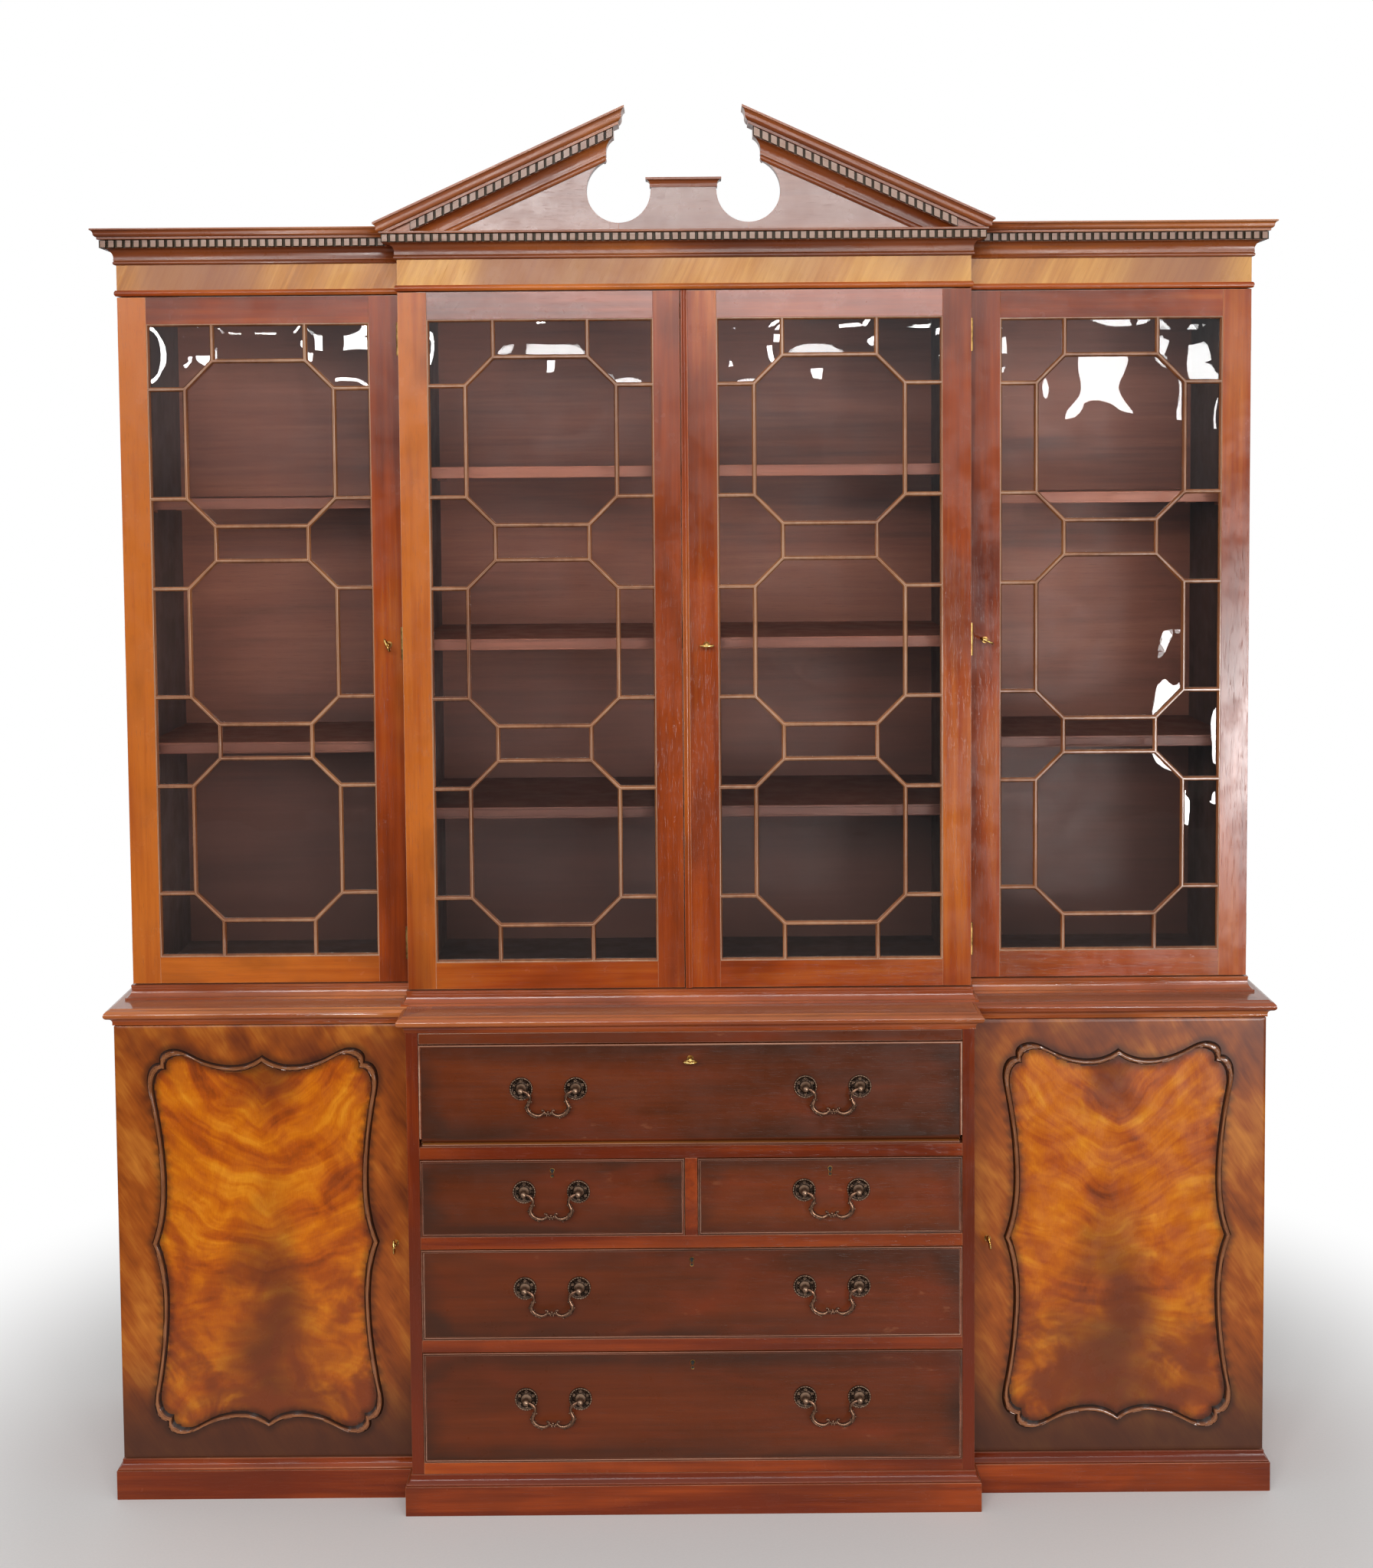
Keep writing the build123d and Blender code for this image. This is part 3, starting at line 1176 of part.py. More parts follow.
def make_fall():
    """The fall front of the secretaire, with its beads, its hinges and its brass."""
    face = y_lower_centre
    x = (-x_opening + drawer_gap, x_opening - drawer_gap)
    z = (z_fall, z_fall_top)
    bead = cockbead_thickness
    y = (face, face + fall_thickness)
    board = block((x[0] + bead, x[1] - bead), y, (z[0], z[1] - bead))
    board += block(x, (face + cockbead_depth, y[1]), z)
    low_edges = [edge for edge in board.edges().filter_by(Axis.X)
                 if abs(edge.center().Z - z[0]) < fall_lift and edge.length > x_opening]
    board = fillet(low_edges, fall_axis_in - fall_lift / 2)
    bead_y = (face - cockbead_reach, face + cockbead_depth)
    beads = block(x, bead_y, (z[0] + fall_axis_in, z[1]))
    beads -= block((x[0] + bead, x[1] - bead), (bead_y[0] - overrun, bead_y[1] + overrun),
                   (z[0] - overrun, z[1] - bead))
    hinges, cuts = [], []
    for place in fall_hinge_places():
        lug, cut = fall_hinge(place)
        hinges.append(lug)
        cuts.append(cut)
    bore, seat, ring = keyway(0, face, secretaire_key_height, key_shank_in + overrun)
    lock, recess = lock_block(0, y[1], secretaire_key_height - lock_drop_share * lock_height, bore)
    limit = block(x, y, z)
    lock, recess = lock & limit, recess & limit
    board -= cuts + [bore, seat, recess]
    save("secretaire_fall", board, beads)
    save("secretaire_hinges", *hinges)
    brass = [ring, lock]
    for handle_x in (-secretaire_handle_half, secretaire_handle_half):
        brass += drawer_handle_brass(handle_x, face, z_bail_secretaire)
    inside_x = secretaire_inside()[0]
    for side in (-1, 1):
        near = abs(inside_x[0]) - quadrant_gap
        brass.append(quadrant(side * near, -side))
    save("secretaire_fall_brass", *brass)


def quadrant(x, inward):
    """A brass quadrant stay: an arc about the fall's axis with a foot screwed to the fall's inner face."""
    y, z = y_fall_axis, z_fall_axis
    inner_face = y_lower_centre + fall_thickness
    start = math.asin((inner_face - y) / quadrant_inner)
    end = math.radians(90 + quadrant_tail_deg)

    def at(radius, angle):
        return (x, y + radius * math.sin(angle), z + radius * math.cos(angle))

    middle = (start + end) / 2
    edges = [ThreePointArc(at(quadrant_outer, start), at(quadrant_outer, middle), at(quadrant_outer, end)),
             Line(at(quadrant_outer, end), at(quadrant_inner, end)),
             ThreePointArc(at(quadrant_inner, end), at(quadrant_inner, middle), at(quadrant_inner, start)),
             Line(at(quadrant_inner, start), at(quadrant_outer, start))]
    plate = extrude(make_face(edges), quadrant_thickness, dir=(inward, 0, 0))
    low = z + quadrant_inner - quadrant_foot
    foot = block((x, x + inward * quadrant_foot_width), (inner_face, inner_face + quadrant_thickness),
                 (low, low + 2 * quadrant_foot + quadrant_outer - quadrant_inner))
    return plate + foot


def interior_layout():
    """Spans across of the interior's compartments: two, the small drawer's, and two more."""
    x, y, z = secretaire_inside()
    board = interior_board
    space = x[1] - x[0] - (interior_slot_count + 2) * board - small_drawer_width
    slot = space / interior_slot_count
    spans, here = [], x[0] + board
    for number in range(interior_slot_count + 1):
        width = small_drawer_width if number == interior_slot_count // 2 else slot
        spans.append((here, here + width))
        here += width + board
    return spans


def make_interior():
    """The fitted interior: pigeonholes with arched valances either side of the small drawer's place."""
    x, y, z = secretaire_inside()
    front = y[1] - interior_depth
    depth = (front, y[1])
    board = interior_board
    pieces = [block(x, depth, (z[0], z[0] + board)), block(x, depth, (z[1] - board, z[1]))]
    upright = (z[0] + board, z[1] - board)
    spans = interior_layout()
    edges = [x[0]] + [span[1] for span in spans]
    pieces += [block((edge, edge + board), depth, upright) for edge in edges]
    middle = interior_slot_count // 2
    for number, span in enumerate(spans):
        if number == middle:
            continue
        top = upright[1]
        valance = block(span, (front, front + valance_thickness), (top - valance_height, top))
        radius = valance_arch_share * (span[1] - span[0]) / 2
        centre_z = top - valance_crown_share * valance_height - radius
        centre_x = (span[0] + span[1]) / 2
        behind = front + valance_thickness + overrun
        valance -= rod((centre_x, front - overrun, centre_z), (centre_x, behind, centre_z), radius)
        pieces += valance.solids()
    save("secretaire_interior", *pieces)


def make_small_drawer():
    """The small drawer in the middle of the interior, with its turned knob."""
    x, y, z = secretaire_inside()
    span = interior_layout()[interior_slot_count // 2]
    gap, wall = small_drawer_gap, small_drawer_wall
    front = y[1] - interior_depth
    box_x = (span[0] + gap, span[1] - gap)
    box_z = (z[0] + interior_board + runner_clearance, z[1] - interior_board - gap)
    between = (box_x[0] + wall, box_x[1] - wall)
    y_in = (front + small_drawer_front, y[1] - wall)
    boards = [block(box_x, (front, y_in[0]), box_z),
              block((box_x[0], between[0]), y_in, box_z),
              block((between[1], box_x[1]), y_in, box_z),
              block(between, (y_in[1] - wall, y_in[1]), box_z),
              block(between, (y_in[0], y_in[1] - wall), (box_z[0], box_z[0] + wall))]
    centre_x = (box_x[0] + box_x[1]) / 2
    centre_z = (box_z[0] + box_z[1]) / 2
    neck_end = (centre_x, front - small_knob_neck_length, centre_z)
    knob = rod((centre_x, front, centre_z), neck_end, small_knob_neck)
    knob += rod(neck_end, (centre_x, front - small_knob_reach, centre_z), small_knob_radius)
    save("small_drawer", *boards, knob)


def make_doors(hinges):
    """All six doors."""
    key_in = wing_door_width - door_key_from_edge
    make_glazed_door("left_wing_door", -x_upper, 1, wing_door_width, y_upper_wing, wing_lock_stile,
                     hinges["left_wing_door"], key_x=-x_upper + key_in)
    make_glazed_door("left_centre_door", -x_upper_centre, 1, left_centre_door_width, y_upper_centre,
                     left_meeting_stile, hinges["left_centre_door"])
    make_glazed_door("right_centre_door", x_upper_centre, -1, right_centre_door_width, y_upper_centre,
                     right_meeting_stile, hinges["right_centre_door"], key_x=centre_key_x, bead=True)
    make_glazed_door("right_wing_door", x_upper, -1, wing_door_width, y_upper_wing, wing_lock_stile,
                     hinges["right_wing_door"], key_x=x_upper - key_in)
    cupboard_key_in = cupboard_door_width - cupboard_key_from_edge
    for name, side in (("left_cupboard_door", -1), ("right_cupboard_door", 1)):
        make_cupboard_door(name, side * x_lower, -side, hinges[name], side * (x_lower - cupboard_key_in))


def make_keys():
    """The six keys, each turned as it was left."""
    key_in = x_upper - wing_door_width + door_key_from_edge
    make_key("left_wing_key", -key_in, y_upper_wing, door_key_height, left_wing_key_deg)
    make_key("right_centre_key", centre_key_x, y_upper_centre, door_key_height, 0)
    make_key("right_wing_key", key_in, y_upper_wing, door_key_height, right_wing_key_deg)
    cupboard_in = x_lower - cupboard_door_width + cupboard_key_from_edge
    make_key("left_cupboard_key", -cupboard_in, y_lower_wing, cupboard_key_height, left_cupboard_key_deg)
    make_key("right_cupboard_key", cupboard_in, y_lower_wing, cupboard_key_height, right_cupboard_key_deg)
    make_key("secretaire_key", 0, y_lower_centre, secretaire_key_height, 0)


def make_drawers():
    """The four drawers and all eight bails."""
    full = (-x_opening, x_opening)
    inner = muntin_width / 2
    rows = [("bottom_drawer", full, z_bottom_drawer, bottom_drawer_height, z_bail_bottom),
            ("long_drawer", full, z_long_drawer, long_drawer_height, z_bail_long)]
    for name, x, low, height, bail_z in rows:
        handles = (-long_handle_half, long_handle_half)
        make_drawer(name, x, (low, low + height), handles, 0, bail_z)
        for side, handle_x in zip(("left", "right"), handles):
            make_bail(f"{name}_{side}_bail", handle_x, y_lower_centre, bail_z)
    for side, sign in (("left", -1), ("right", 1)):
        x = sorted((sign * inner, sign * x_opening))
        handle_x = sign * short_handle_half
        z = (z_short_drawer, z_short_drawer + short_drawer_height)
        make_drawer(f"{side}_short_drawer", x, z, [handle_x], (x[0] + x[1]) / 2, z_bail_short)
        make_bail(f"{side}_short_drawer_bail", handle_x, y_lower_centre, z_bail_short)
        make_bail(f"secretaire_{side}_bail", sign * secretaire_handle_half, y_lower_centre, z_bail_secretaire)


upper_hinge_cuts, lower_hinge_cuts, door_hinges = make_hinges()
make_plinth()
make_lower_carcass(lower_hinge_cuts)
make_backs()
make_drawer_rails()
make_waist()
make_upper_carcass(upper_hinge_cuts)
make_shelves()
make_frieze()
make_cornice()
make_pediment_mouldings()
make_tympanum()
make_doors(door_hinges)
make_drawers()
make_secretaire_box()
make_fall()
make_interior()
make_small_drawer()
make_keys()
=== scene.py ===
# %% [markdown]
# # A breakfront secretaire bookcase
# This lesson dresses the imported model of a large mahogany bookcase. The frame holds every solid piece
# at its real place and size, in metres, with each door, drawer, handle and key on a body of its own.
# We keep those places, and give each piece its softened edges, its grain, its polish and its fine detail.

# %% Load the frame
import json
import math
import random

import bmesh
import bpy
from mathutils import Matrix, Vector

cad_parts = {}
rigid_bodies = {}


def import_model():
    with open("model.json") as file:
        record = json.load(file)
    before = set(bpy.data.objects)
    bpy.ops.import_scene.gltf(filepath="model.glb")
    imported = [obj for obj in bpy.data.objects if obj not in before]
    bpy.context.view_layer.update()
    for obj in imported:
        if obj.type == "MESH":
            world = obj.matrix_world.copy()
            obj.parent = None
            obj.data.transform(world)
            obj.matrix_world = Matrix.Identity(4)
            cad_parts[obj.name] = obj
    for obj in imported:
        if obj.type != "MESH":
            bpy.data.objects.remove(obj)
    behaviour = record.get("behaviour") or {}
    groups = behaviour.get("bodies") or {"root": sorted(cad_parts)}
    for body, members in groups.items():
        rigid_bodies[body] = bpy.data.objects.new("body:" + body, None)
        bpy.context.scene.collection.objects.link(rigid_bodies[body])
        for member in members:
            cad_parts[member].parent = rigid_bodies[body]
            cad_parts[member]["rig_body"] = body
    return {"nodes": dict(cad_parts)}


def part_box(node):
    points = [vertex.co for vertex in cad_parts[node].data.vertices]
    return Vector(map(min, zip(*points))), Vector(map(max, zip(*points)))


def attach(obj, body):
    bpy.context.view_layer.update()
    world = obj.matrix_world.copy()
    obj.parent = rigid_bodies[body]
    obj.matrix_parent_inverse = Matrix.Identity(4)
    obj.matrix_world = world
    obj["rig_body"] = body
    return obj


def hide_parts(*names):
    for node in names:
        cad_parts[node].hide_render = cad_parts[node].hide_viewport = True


for thing in list(bpy.data.objects):
    bpy.data.objects.remove(thing)
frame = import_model()
scene = bpy.context.scene
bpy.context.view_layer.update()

# %% [markdown]
# ## The camera
# The photograph was taken from eye height, a little over three and a half metres in front of the case.
# The lens looks down slightly, and a small shift frames the whole height, as on a camera for buildings.
# A little roll is kept too, because the cornice in the photograph climbs to the right.

# %% Place the camera
MM = 0.001
EYE = Vector((0.0, -3.5975, 1.815))
PITCH_DEG, ROLL_DEG = 3.28, 0.45
lens = bpy.data.cameras.new("camera")
lens.sensor_width = 36.0
lens.lens = 2600 / 2046 * lens.sensor_width
lens.shift_y = -0.128
camera = bpy.data.objects.new("camera", lens)
scene.collection.objects.link(camera)
turn = (Matrix.Rotation(math.radians(90 - PITCH_DEG), 4, "X")
        @ Matrix.Rotation(math.radians(-ROLL_DEG), 4, "Z"))
camera.matrix_world = Matrix.Translation(EYE) @ turn
scene.camera = camera
print("camera at", [round(v, 3) for v in EYE], "lens", round(lens.lens, 2))

# %% [markdown]
# ## Writing materials
# A material is a net of nodes, and long nets are hard to read when every wire is spelled out. This small
# helper writes one node for each call and gives back its output, so a finish reads like a recipe.

# %% A helper that writes nodes
class Recipe:
    """One material while it is being written. Each call adds a node and gives back its first output."""

    def __init__(self, name):
        self.material = bpy.data.materials.new(name)
        self.material.use_nodes = True
        self.tree = self.material.node_tree
        self.tree.nodes.clear()

    def add(self, kind, inputs=None, output=0, **settings):
        made = self.tree.nodes.new(kind)
        for key, value in settings.items():
            setattr(made, key, value)
        for key, value in (inputs or {}).items():
            if isinstance(value, bpy.types.NodeSocket):
                self.tree.links.new(value, made.inputs[key])
            else:
                made.inputs[key].default_value = value
        return made.outputs[output] if made.outputs else made

    def math(self, operation, first, second=0.0, clamp=False):
        return self.add("ShaderNodeMath", {0: first, 1: second}, operation=operation, use_clamp=clamp)

    def place(self):
        """Where a point lies on the object, in metres."""
        return self.add("ShaderNodeTexCoord", output=3)

    def parts(self, vector):
        """The X, Y and Z of a vector."""
        split = self.tree.nodes.new("ShaderNodeSeparateXYZ")
        self.tree.links.new(vector, split.inputs[0])
        return split.outputs

    def ray(self):
        """What kind of ray is asking."""
        return self.tree.nodes.new("ShaderNodeLightPath").outputs

    def written(self, name):
        """A number that the mesh carries on its vertices."""
        return self.add("ShaderNodeAttribute", attribute_name=name, output=2)

    def between(self, value, low, high, to_low=0.0, to_high=1.0):
        """Value carried smoothly from one span to another."""
        return self.add("ShaderNodeMapRange", {0: value, 1: low, 2: high, 3: to_low, 4: to_high},
                        interpolation_type="SMOOTHSTEP")

    def mix(self, share, first, second, way="MIX"):
        return self.add("ShaderNodeMix", {0: share, 6: first, 7: second}, output=2, data_type="RGBA",
                        blend_type=way)

    def scale(self, vector, by):
        return self.add("ShaderNodeVectorMath", {0: vector, 1: by}, operation="MULTIPLY")

    def shift(self, vector, by):
        return self.add("ShaderNodeVectorMath", {0: vector, 1: by}, operation="ADD")

    def noise(self, vector, size, detail=3.0, rough=0.5, distort=0.0):
        """Soft random patches of about that size, in metres."""
        return self.add("ShaderNodeTexNoise", {"Vector": vector, "Scale": 1 / size, "Detail": detail,
                                               "Roughness": rough, "Distortion": distort})

    def tones(self, value, *stops):
        """Colours laid out along a value from 0 to 1."""
        band = self.tree.nodes.new("ShaderNodeValToRGB")
        self.tree.links.new(value, band.inputs[0])
        while len(band.color_ramp.elements) < len(stops):
            band.color_ramp.elements.new(0.5)
        for element, (place, colour) in zip(band.color_ramp.elements, stops):
            element.position, element.color = place, colour
        return band.outputs[0]

    def finish(self, **sockets):
        """The surface itself; names with a space are given with an underline."""
        inputs = {key.replace("_", " "): value for key, value in sockets.items()}
        surface = self.add("ShaderNodeBsdfPrincipled", inputs)
        self.add("ShaderNodeOutputMaterial", {"Surface": surface})
        return self.material


def tone(red, green, blue):
    """A colour as it is named on a paint card, from 0 to 255, made linear for the renderer."""
    shares = [part / 255 for part in (red, green, blue)]
    return tuple(s / 12.92 if s <= 0.04045 else ((s + 0.055) / 1.055) ** 2.4 for s in shares) + (1.0,)


print("a mid mahogany is", [round(v, 3) for v in tone(166, 80, 34)])

# %% [markdown]
# ## Floor and light
# A pale floor carries the shadow and fades into white well away from the case. The light is that of a
# plain studio: an even pale room, and a row of tall soft windows high in front. Polished wood and old
# glass show the room in front of them, so that room is there too, as a wall that grows darker towards the
# floor. A long glow under the high windows brightens the polish of the top rails, small barred windows
# become the glints in the panes, and two low openings shine on the right side. Light Path tells what is
# looked at from what is only mirrored, so that the wall and the floor can be dim in the glass and still be
# white behind the case.

# %% Set up the floor and the room
def plain_sheet(name, low, high):
    """A flat rectangle between two corners, made from a grid."""
    sheet = bmesh.new()
    bmesh.ops.create_grid(sheet, x_segments=1, y_segments=1, size=0.5)
    span, middle = Vector(high) - Vector(low), (Vector(high) + Vector(low)) / 2
    if span.y == 0:
        bmesh.ops.rotate(sheet, verts=sheet.verts, matrix=Matrix.Rotation(math.pi / 2, 3, "X"))
    bmesh.ops.scale(sheet, vec=[size or 1 for size in span], verts=sheet.verts)
    bmesh.ops.translate(sheet, vec=middle, verts=sheet.verts)
    mesh = bpy.data.meshes.new(name)
    sheet.to_mesh(mesh)
    sheet.free()
    placed = bpy.data.objects.new(name, mesh)
    scene.collection.objects.link(placed)
    return placed


def seen_straight(recipe):
    """1 for rays from the camera, a mirror or glass, and 0 for the light that falls on things."""
    ray = recipe.ray()
    straight = recipe.math("ADD", ray["Is Camera Ray"], ray["Is Glossy Ray"], clamp=True)
    return recipe.math("ADD", straight, ray["Is Transmission Ray"], clamp=True)


def through_glass(recipe, ray):
    """1 for what is looked at through a pane, and 0 for what the pane's back surface mirrors."""
    unmirrored = recipe.math("LESS_THAN", ray["Glossy Depth"], 0.5)
    return recipe.math("MULTIPLY", ray["Is Transmission Ray"], unmirrored)


FLOOR_IN_POLISH = 0.14


def floor_seen(recipe):
    """1 for the camera, through a pane or not; polish and panes mirror a much duller floor."""
    ray = recipe.ray()
    mirrored = recipe.math("MULTIPLY", ray["Is Glossy Ray"], FLOOR_IN_POLISH)
    straight = recipe.math("ADD", ray["Is Camera Ray"], through_glass(recipe, ray), clamp=True)
    return recipe.math("ADD", straight, mirrored, clamp=True)


FLOOR_REACH, FADE_FROM, FADE_TO = 9, 1.1, 1.9
floor = plain_sheet("floor", (-FLOOR_REACH, -FLOOR_REACH, 0), (FLOOR_REACH, FLOOR_REACH, 0))
paint = Recipe("pale_floor")
place = paint.place()
flat = paint.scale(place, (1.0, 1.0, 0.0))
away = paint.add("ShaderNodeVectorMath", {0: flat}, output=1, operation="LENGTH")
speckle = paint.noise(place, 0.004)
pale = paint.mix(speckle, (0.80, 0.79, 0.78, 1), (0.86, 0.855, 0.85, 1))
matt = paint.add("ShaderNodeBsdfPrincipled", {"Base Color": pale, "Roughness": 0.9, "Specular IOR Level": 0.1})
glow = paint.add("ShaderNodeEmission", {"Color": (1, 1, 1, 1), "Strength": floor_seen(paint)})
faded = paint.add("ShaderNodeMixShader", {0: paint.between(away, FADE_FROM, FADE_TO), 1: matt, 2: glow})
paint.add("ShaderNodeOutputMaterial", {"Surface": faded})
floor.data.materials.append(paint.material)
print("floor: white from", FADE_TO, "m away from the middle")

# %% Light the room
FILL = 0.5
world = bpy.data.worlds.new("studio")
scene.world = world
world.use_nodes = True
world.node_tree.nodes.clear()


class WorldRecipe(Recipe):
    """The same helper, writing the world's own nodes."""

    def __init__(self, tree):
        self.tree = tree


air = WorldRecipe(world.node_tree)
strength = air.between(seen_straight(air), 0.0, 1.0, FILL, 1.0)
sky = air.add("ShaderNodeBackground", {"Color": (1, 1, 1, 1), "Strength": strength})
air.add("ShaderNodeOutputWorld", {"Surface": sky})


def window(name, place, size, watts, towards=(0.0, 0.0, 1.5)):
    """A soft rectangular lamp that faces a point of the case. It isn't seen by the camera itself."""
    lamp = bpy.data.lights.new(name, "AREA")
    lamp.shape, lamp.energy = "RECTANGLE", watts
    lamp.size, lamp.size_y = size
    placed = bpy.data.objects.new(name, lamp)
    scene.collection.objects.link(placed)
    way = Vector(towards) - Vector(place)
    placed.matrix_world = Matrix.Translation(place) @ way.to_track_quat("-Z", "Y").to_matrix().to_4x4()
    placed.visible_camera = False
    return placed


ROOM_WALL, WALL_HALF, WALL_TOP = -6.8, 8, 5.2
IN_FRONT = 0.1
# Each opening is the place of its middle along the wall, its height above the floor, its width and height,
# and its share of the glow.
HIGH_GLOW, STRIP_GLOW, DOOR_GLOW = 12.5, 14.0, 26.0
high = [(-2.95, 3.5, 1.25, 1.3, 1.2), (-1.0, 3.5, 1.6, 1.4, 1.3), (1.0, 3.5, 1.6, 1.35, 0.75),
        (2.95, 3.5, 1.25, 1.4, 0.75)]
plain = [(1.9, 2.42, 0.16, 0.1, 1), (2.12, 2.22, 0.24, 0.3, 1), (2.4, 2.16, 0.06, 0.24, 1),
         (2.7, 2.42, 0.24, 0.12, 1)]
barred = [(-2.75, 2.42, 0.26, 0.1), (-2.5, 2.34, 0.07, 0.22), (-2.2, 2.44, 0.2, 0.08), (-1.66, 2.42, 0.22, 0.12),
          (-1.3, 2.26, 0.05, 0.26), (-0.98, 2.4, 0.12, 0.1), (-0.7, 2.24, 0.1, 0.16), (0.2, 2.42, 0.16, 0.12),
          (0.62, 2.28, 0.12, 0.18), (0.86, 2.44, 0.2, 0.08), (1.2, 2.26, 0.08, 0.16)]
PANES_OF_TWO, BARRED_SHARE = ((-0.3, 0.3, 0.5, 0.38), (0.3, -0.25, 0.45, 0.42)), 2.6
strip = plain + [(x + across * width, z + up * height, width * wide, height * tall, BARRED_SHARE)
                 for x, z, width, height in barred for across, up, wide, tall in PANES_OF_TWO]
doors = [(2.43, 0.52, 0.13, 0.9, 1), (3.3, 0.44, 1.3, 0.88, 3.0)]
sills = [(0.15, 2.7, 1.9, 0.32, 0.9)]
MIDDLE, RIGHT_SIDE = (0.0, 0.0, 1.5), (0.95, 0.0, 1.2)
for kind, glow, openings in (("high_window", HIGH_GLOW, high), ("sill_glow", HIGH_GLOW, sills),
                             ("strip_window", STRIP_GLOW, strip), ("low_opening", DOOR_GLOW, doors)):
    for number, (x, z, width, height, share) in enumerate(openings):
        watts = share * glow * math.pi * width * height
        lamp = window(f"{kind}_{number}", (x, ROOM_WALL + IN_FRONT, z), (width, height), watts,
                      RIGHT_SIDE if kind == "low_opening" else MIDDLE)
        lamp.visible_diffuse = kind == "high_window"

wall = plain_sheet("room_wall", (-WALL_HALF, ROOM_WALL, 0.0), (WALL_HALF, ROOM_WALL, WALL_TOP))
dim = Recipe("far_wall")
height = dim.parts(dim.place())[2]
sight = through_glass(dim, dim.ray())
mirrored = dim.between(height, 1.3, 2.5, 0.1, 0.42)
grey = dim.add("ShaderNodeEmission", {"Color": (0.94, 0.96, 1.0, 1),
                                      "Strength": dim.math("MAXIMUM", sight, mirrored)})
dim.add("ShaderNodeOutputMaterial", {"Surface": grey})
wall.data.materials.append(dim.material)
wall.visible_camera = wall.visible_diffuse = wall.visible_shadow = False

# %% [markdown]
# ## Boards with softened edges
# Every solid of the case is a real board or a length of moulding. A knife-sharp edge catches no light, and
# no old piece has one: hands, dusters and polish have rounded every arris. So each node is copied, its
# doubles are merged board by board, and its long sharp edges are bevelled. The bevel gets a second
# material, because the worn edge is paler than the face. Each board also carries its own grain direction
# as an attribute, along its longest side, which no single texture over the whole case could give it.

# %% Find the separate boards in a node
def board_numbers(mesh):
    """Which solid each face belongs to: a solid is whole when each of its edges has met its partner."""
    spots = [tuple(round(part * 1e5) for part in vertex.co) for vertex in mesh.vertices]
    waiting, numbers, number = {}, [], 0
    for face in mesh.polygons:
        ring = [spots[index] for index in face.vertices]
        for start, end in zip(ring, ring[1:] + ring[:1]):
            if waiting.get((end, start), 0):
                waiting[(end, start)] -= 1
                if not waiting[(end, start)]:
                    del waiting[(end, start)]
            else:
                waiting[(start, end)] = waiting.get((start, end), 0) + 1
        numbers.append(number)
        number += not waiting
    return numbers


def with_edges(faces):
    """Faces with their edges and vertices, each once and always in the same order."""
    edges = dict.fromkeys(edge for face in faces for edge in face.edges)
    return [*faces, *edges, *dict.fromkeys(vertex for face in faces for vertex in face.verts)]


def boards_of(node):
    """A bmesh copy of a CAD node with its doubles merged board by board, and each board's vertices."""
    mesh = frame["nodes"][node].data
    numbers = board_numbers(mesh)
    whole = bmesh.new()
    whole.from_mesh(mesh)
    whole.faces.ensure_lookup_table()
    mark = whole.faces.layers.int.new("board")
    for face, number in zip(whole.faces, numbers):
        face[mark] = number
    for number in range(max(numbers) + 1):
        own = [face for face in whole.faces if face[mark] == number]
        if own:
            bmesh.ops.split(whole, geom=own, use_only_faces=True)
    groups = {}
    for face in whole.faces:
        groups.setdefault(face[mark], {}).update(dict.fromkeys(face.verts))
    for group in groups.values():
        bmesh.ops.remove_doubles(whole, verts=[v for v in group if v.is_valid], dist=2e-5)
    return whole, mark


trial, trial_mark = boards_of("left_wing_door_frame")
print("left wing door frame:", len({face[trial_mark] for face in trial.faces}), "boards",
      len(trial.verts), "vertices after merging,", sum(not e.is_manifold for e in trial.edges), "open edges")
trial.free()


# %% Soften the edges and write the grain
ARRIS = 0.8 * MM
FLAT_DEG, SHARP_DEG = 0.6, 38.0


def soften(whole, width, segments=2, least=6.0, angle_deg=SHARP_DEG, only=lambda edge: True):
    """Bevels the long sharp outward edges; the new faces wear the second material."""
    for face in whole.faces:
        face.material_index = 0
    bmesh.ops.dissolve_limit(whole, angle_limit=math.radians(FLAT_DEG), verts=whole.verts, edges=whole.edges,
                             delimit={"NORMAL"})
    sharp = [edge for edge in whole.edges if edge.is_manifold and edge.is_convex and only(edge)
             and edge.calc_length() > least * width and edge.calc_face_angle(0) > math.radians(angle_deg)]
    bmesh.ops.bevel(whole, geom=sharp, offset=width, offset_type="OFFSET", affect="EDGES", segments=segments,
                    profile=0.5, material=1, clamp_overlap=True)


def write_grain(whole, mark, along=None, seed=0, tint_of=None):
    """A point attribute whose third number runs along each board, shifted so that no two look alike."""
    layer = whole.verts.layers.float_vector.new("grain")
    tint = whole.verts.layers.float.new("tint")
    groups = {}
    for face in whole.faces:
        groups.setdefault(face[mark], {}).update(dict.fromkeys(face.verts))
    dice = random.Random(seed)
    for number, group in sorted(groups.items()):
        low = Vector([min(v.co[axis] for v in group) for axis in range(3)])
        high = Vector([max(v.co[axis] for v in group) for axis in range(3)])
        size = high - low
        way = Vector([float(axis == max(range(3), key=lambda a: size[a])) for axis in range(3)])
        if along:
            way = along(low, high) or way
        basis = way.to_track_quat("Z", "Y").to_matrix().transposed()
        offset = Vector([dice.uniform(-9, 9) for _ in range(3)])
        share = dice.uniform(-1, 1)
        if tint_of:
            share = tint_of(low, high, share)
        for vertex in group:
            vertex[layer] = basis @ vertex.co + offset
            vertex[tint] = share


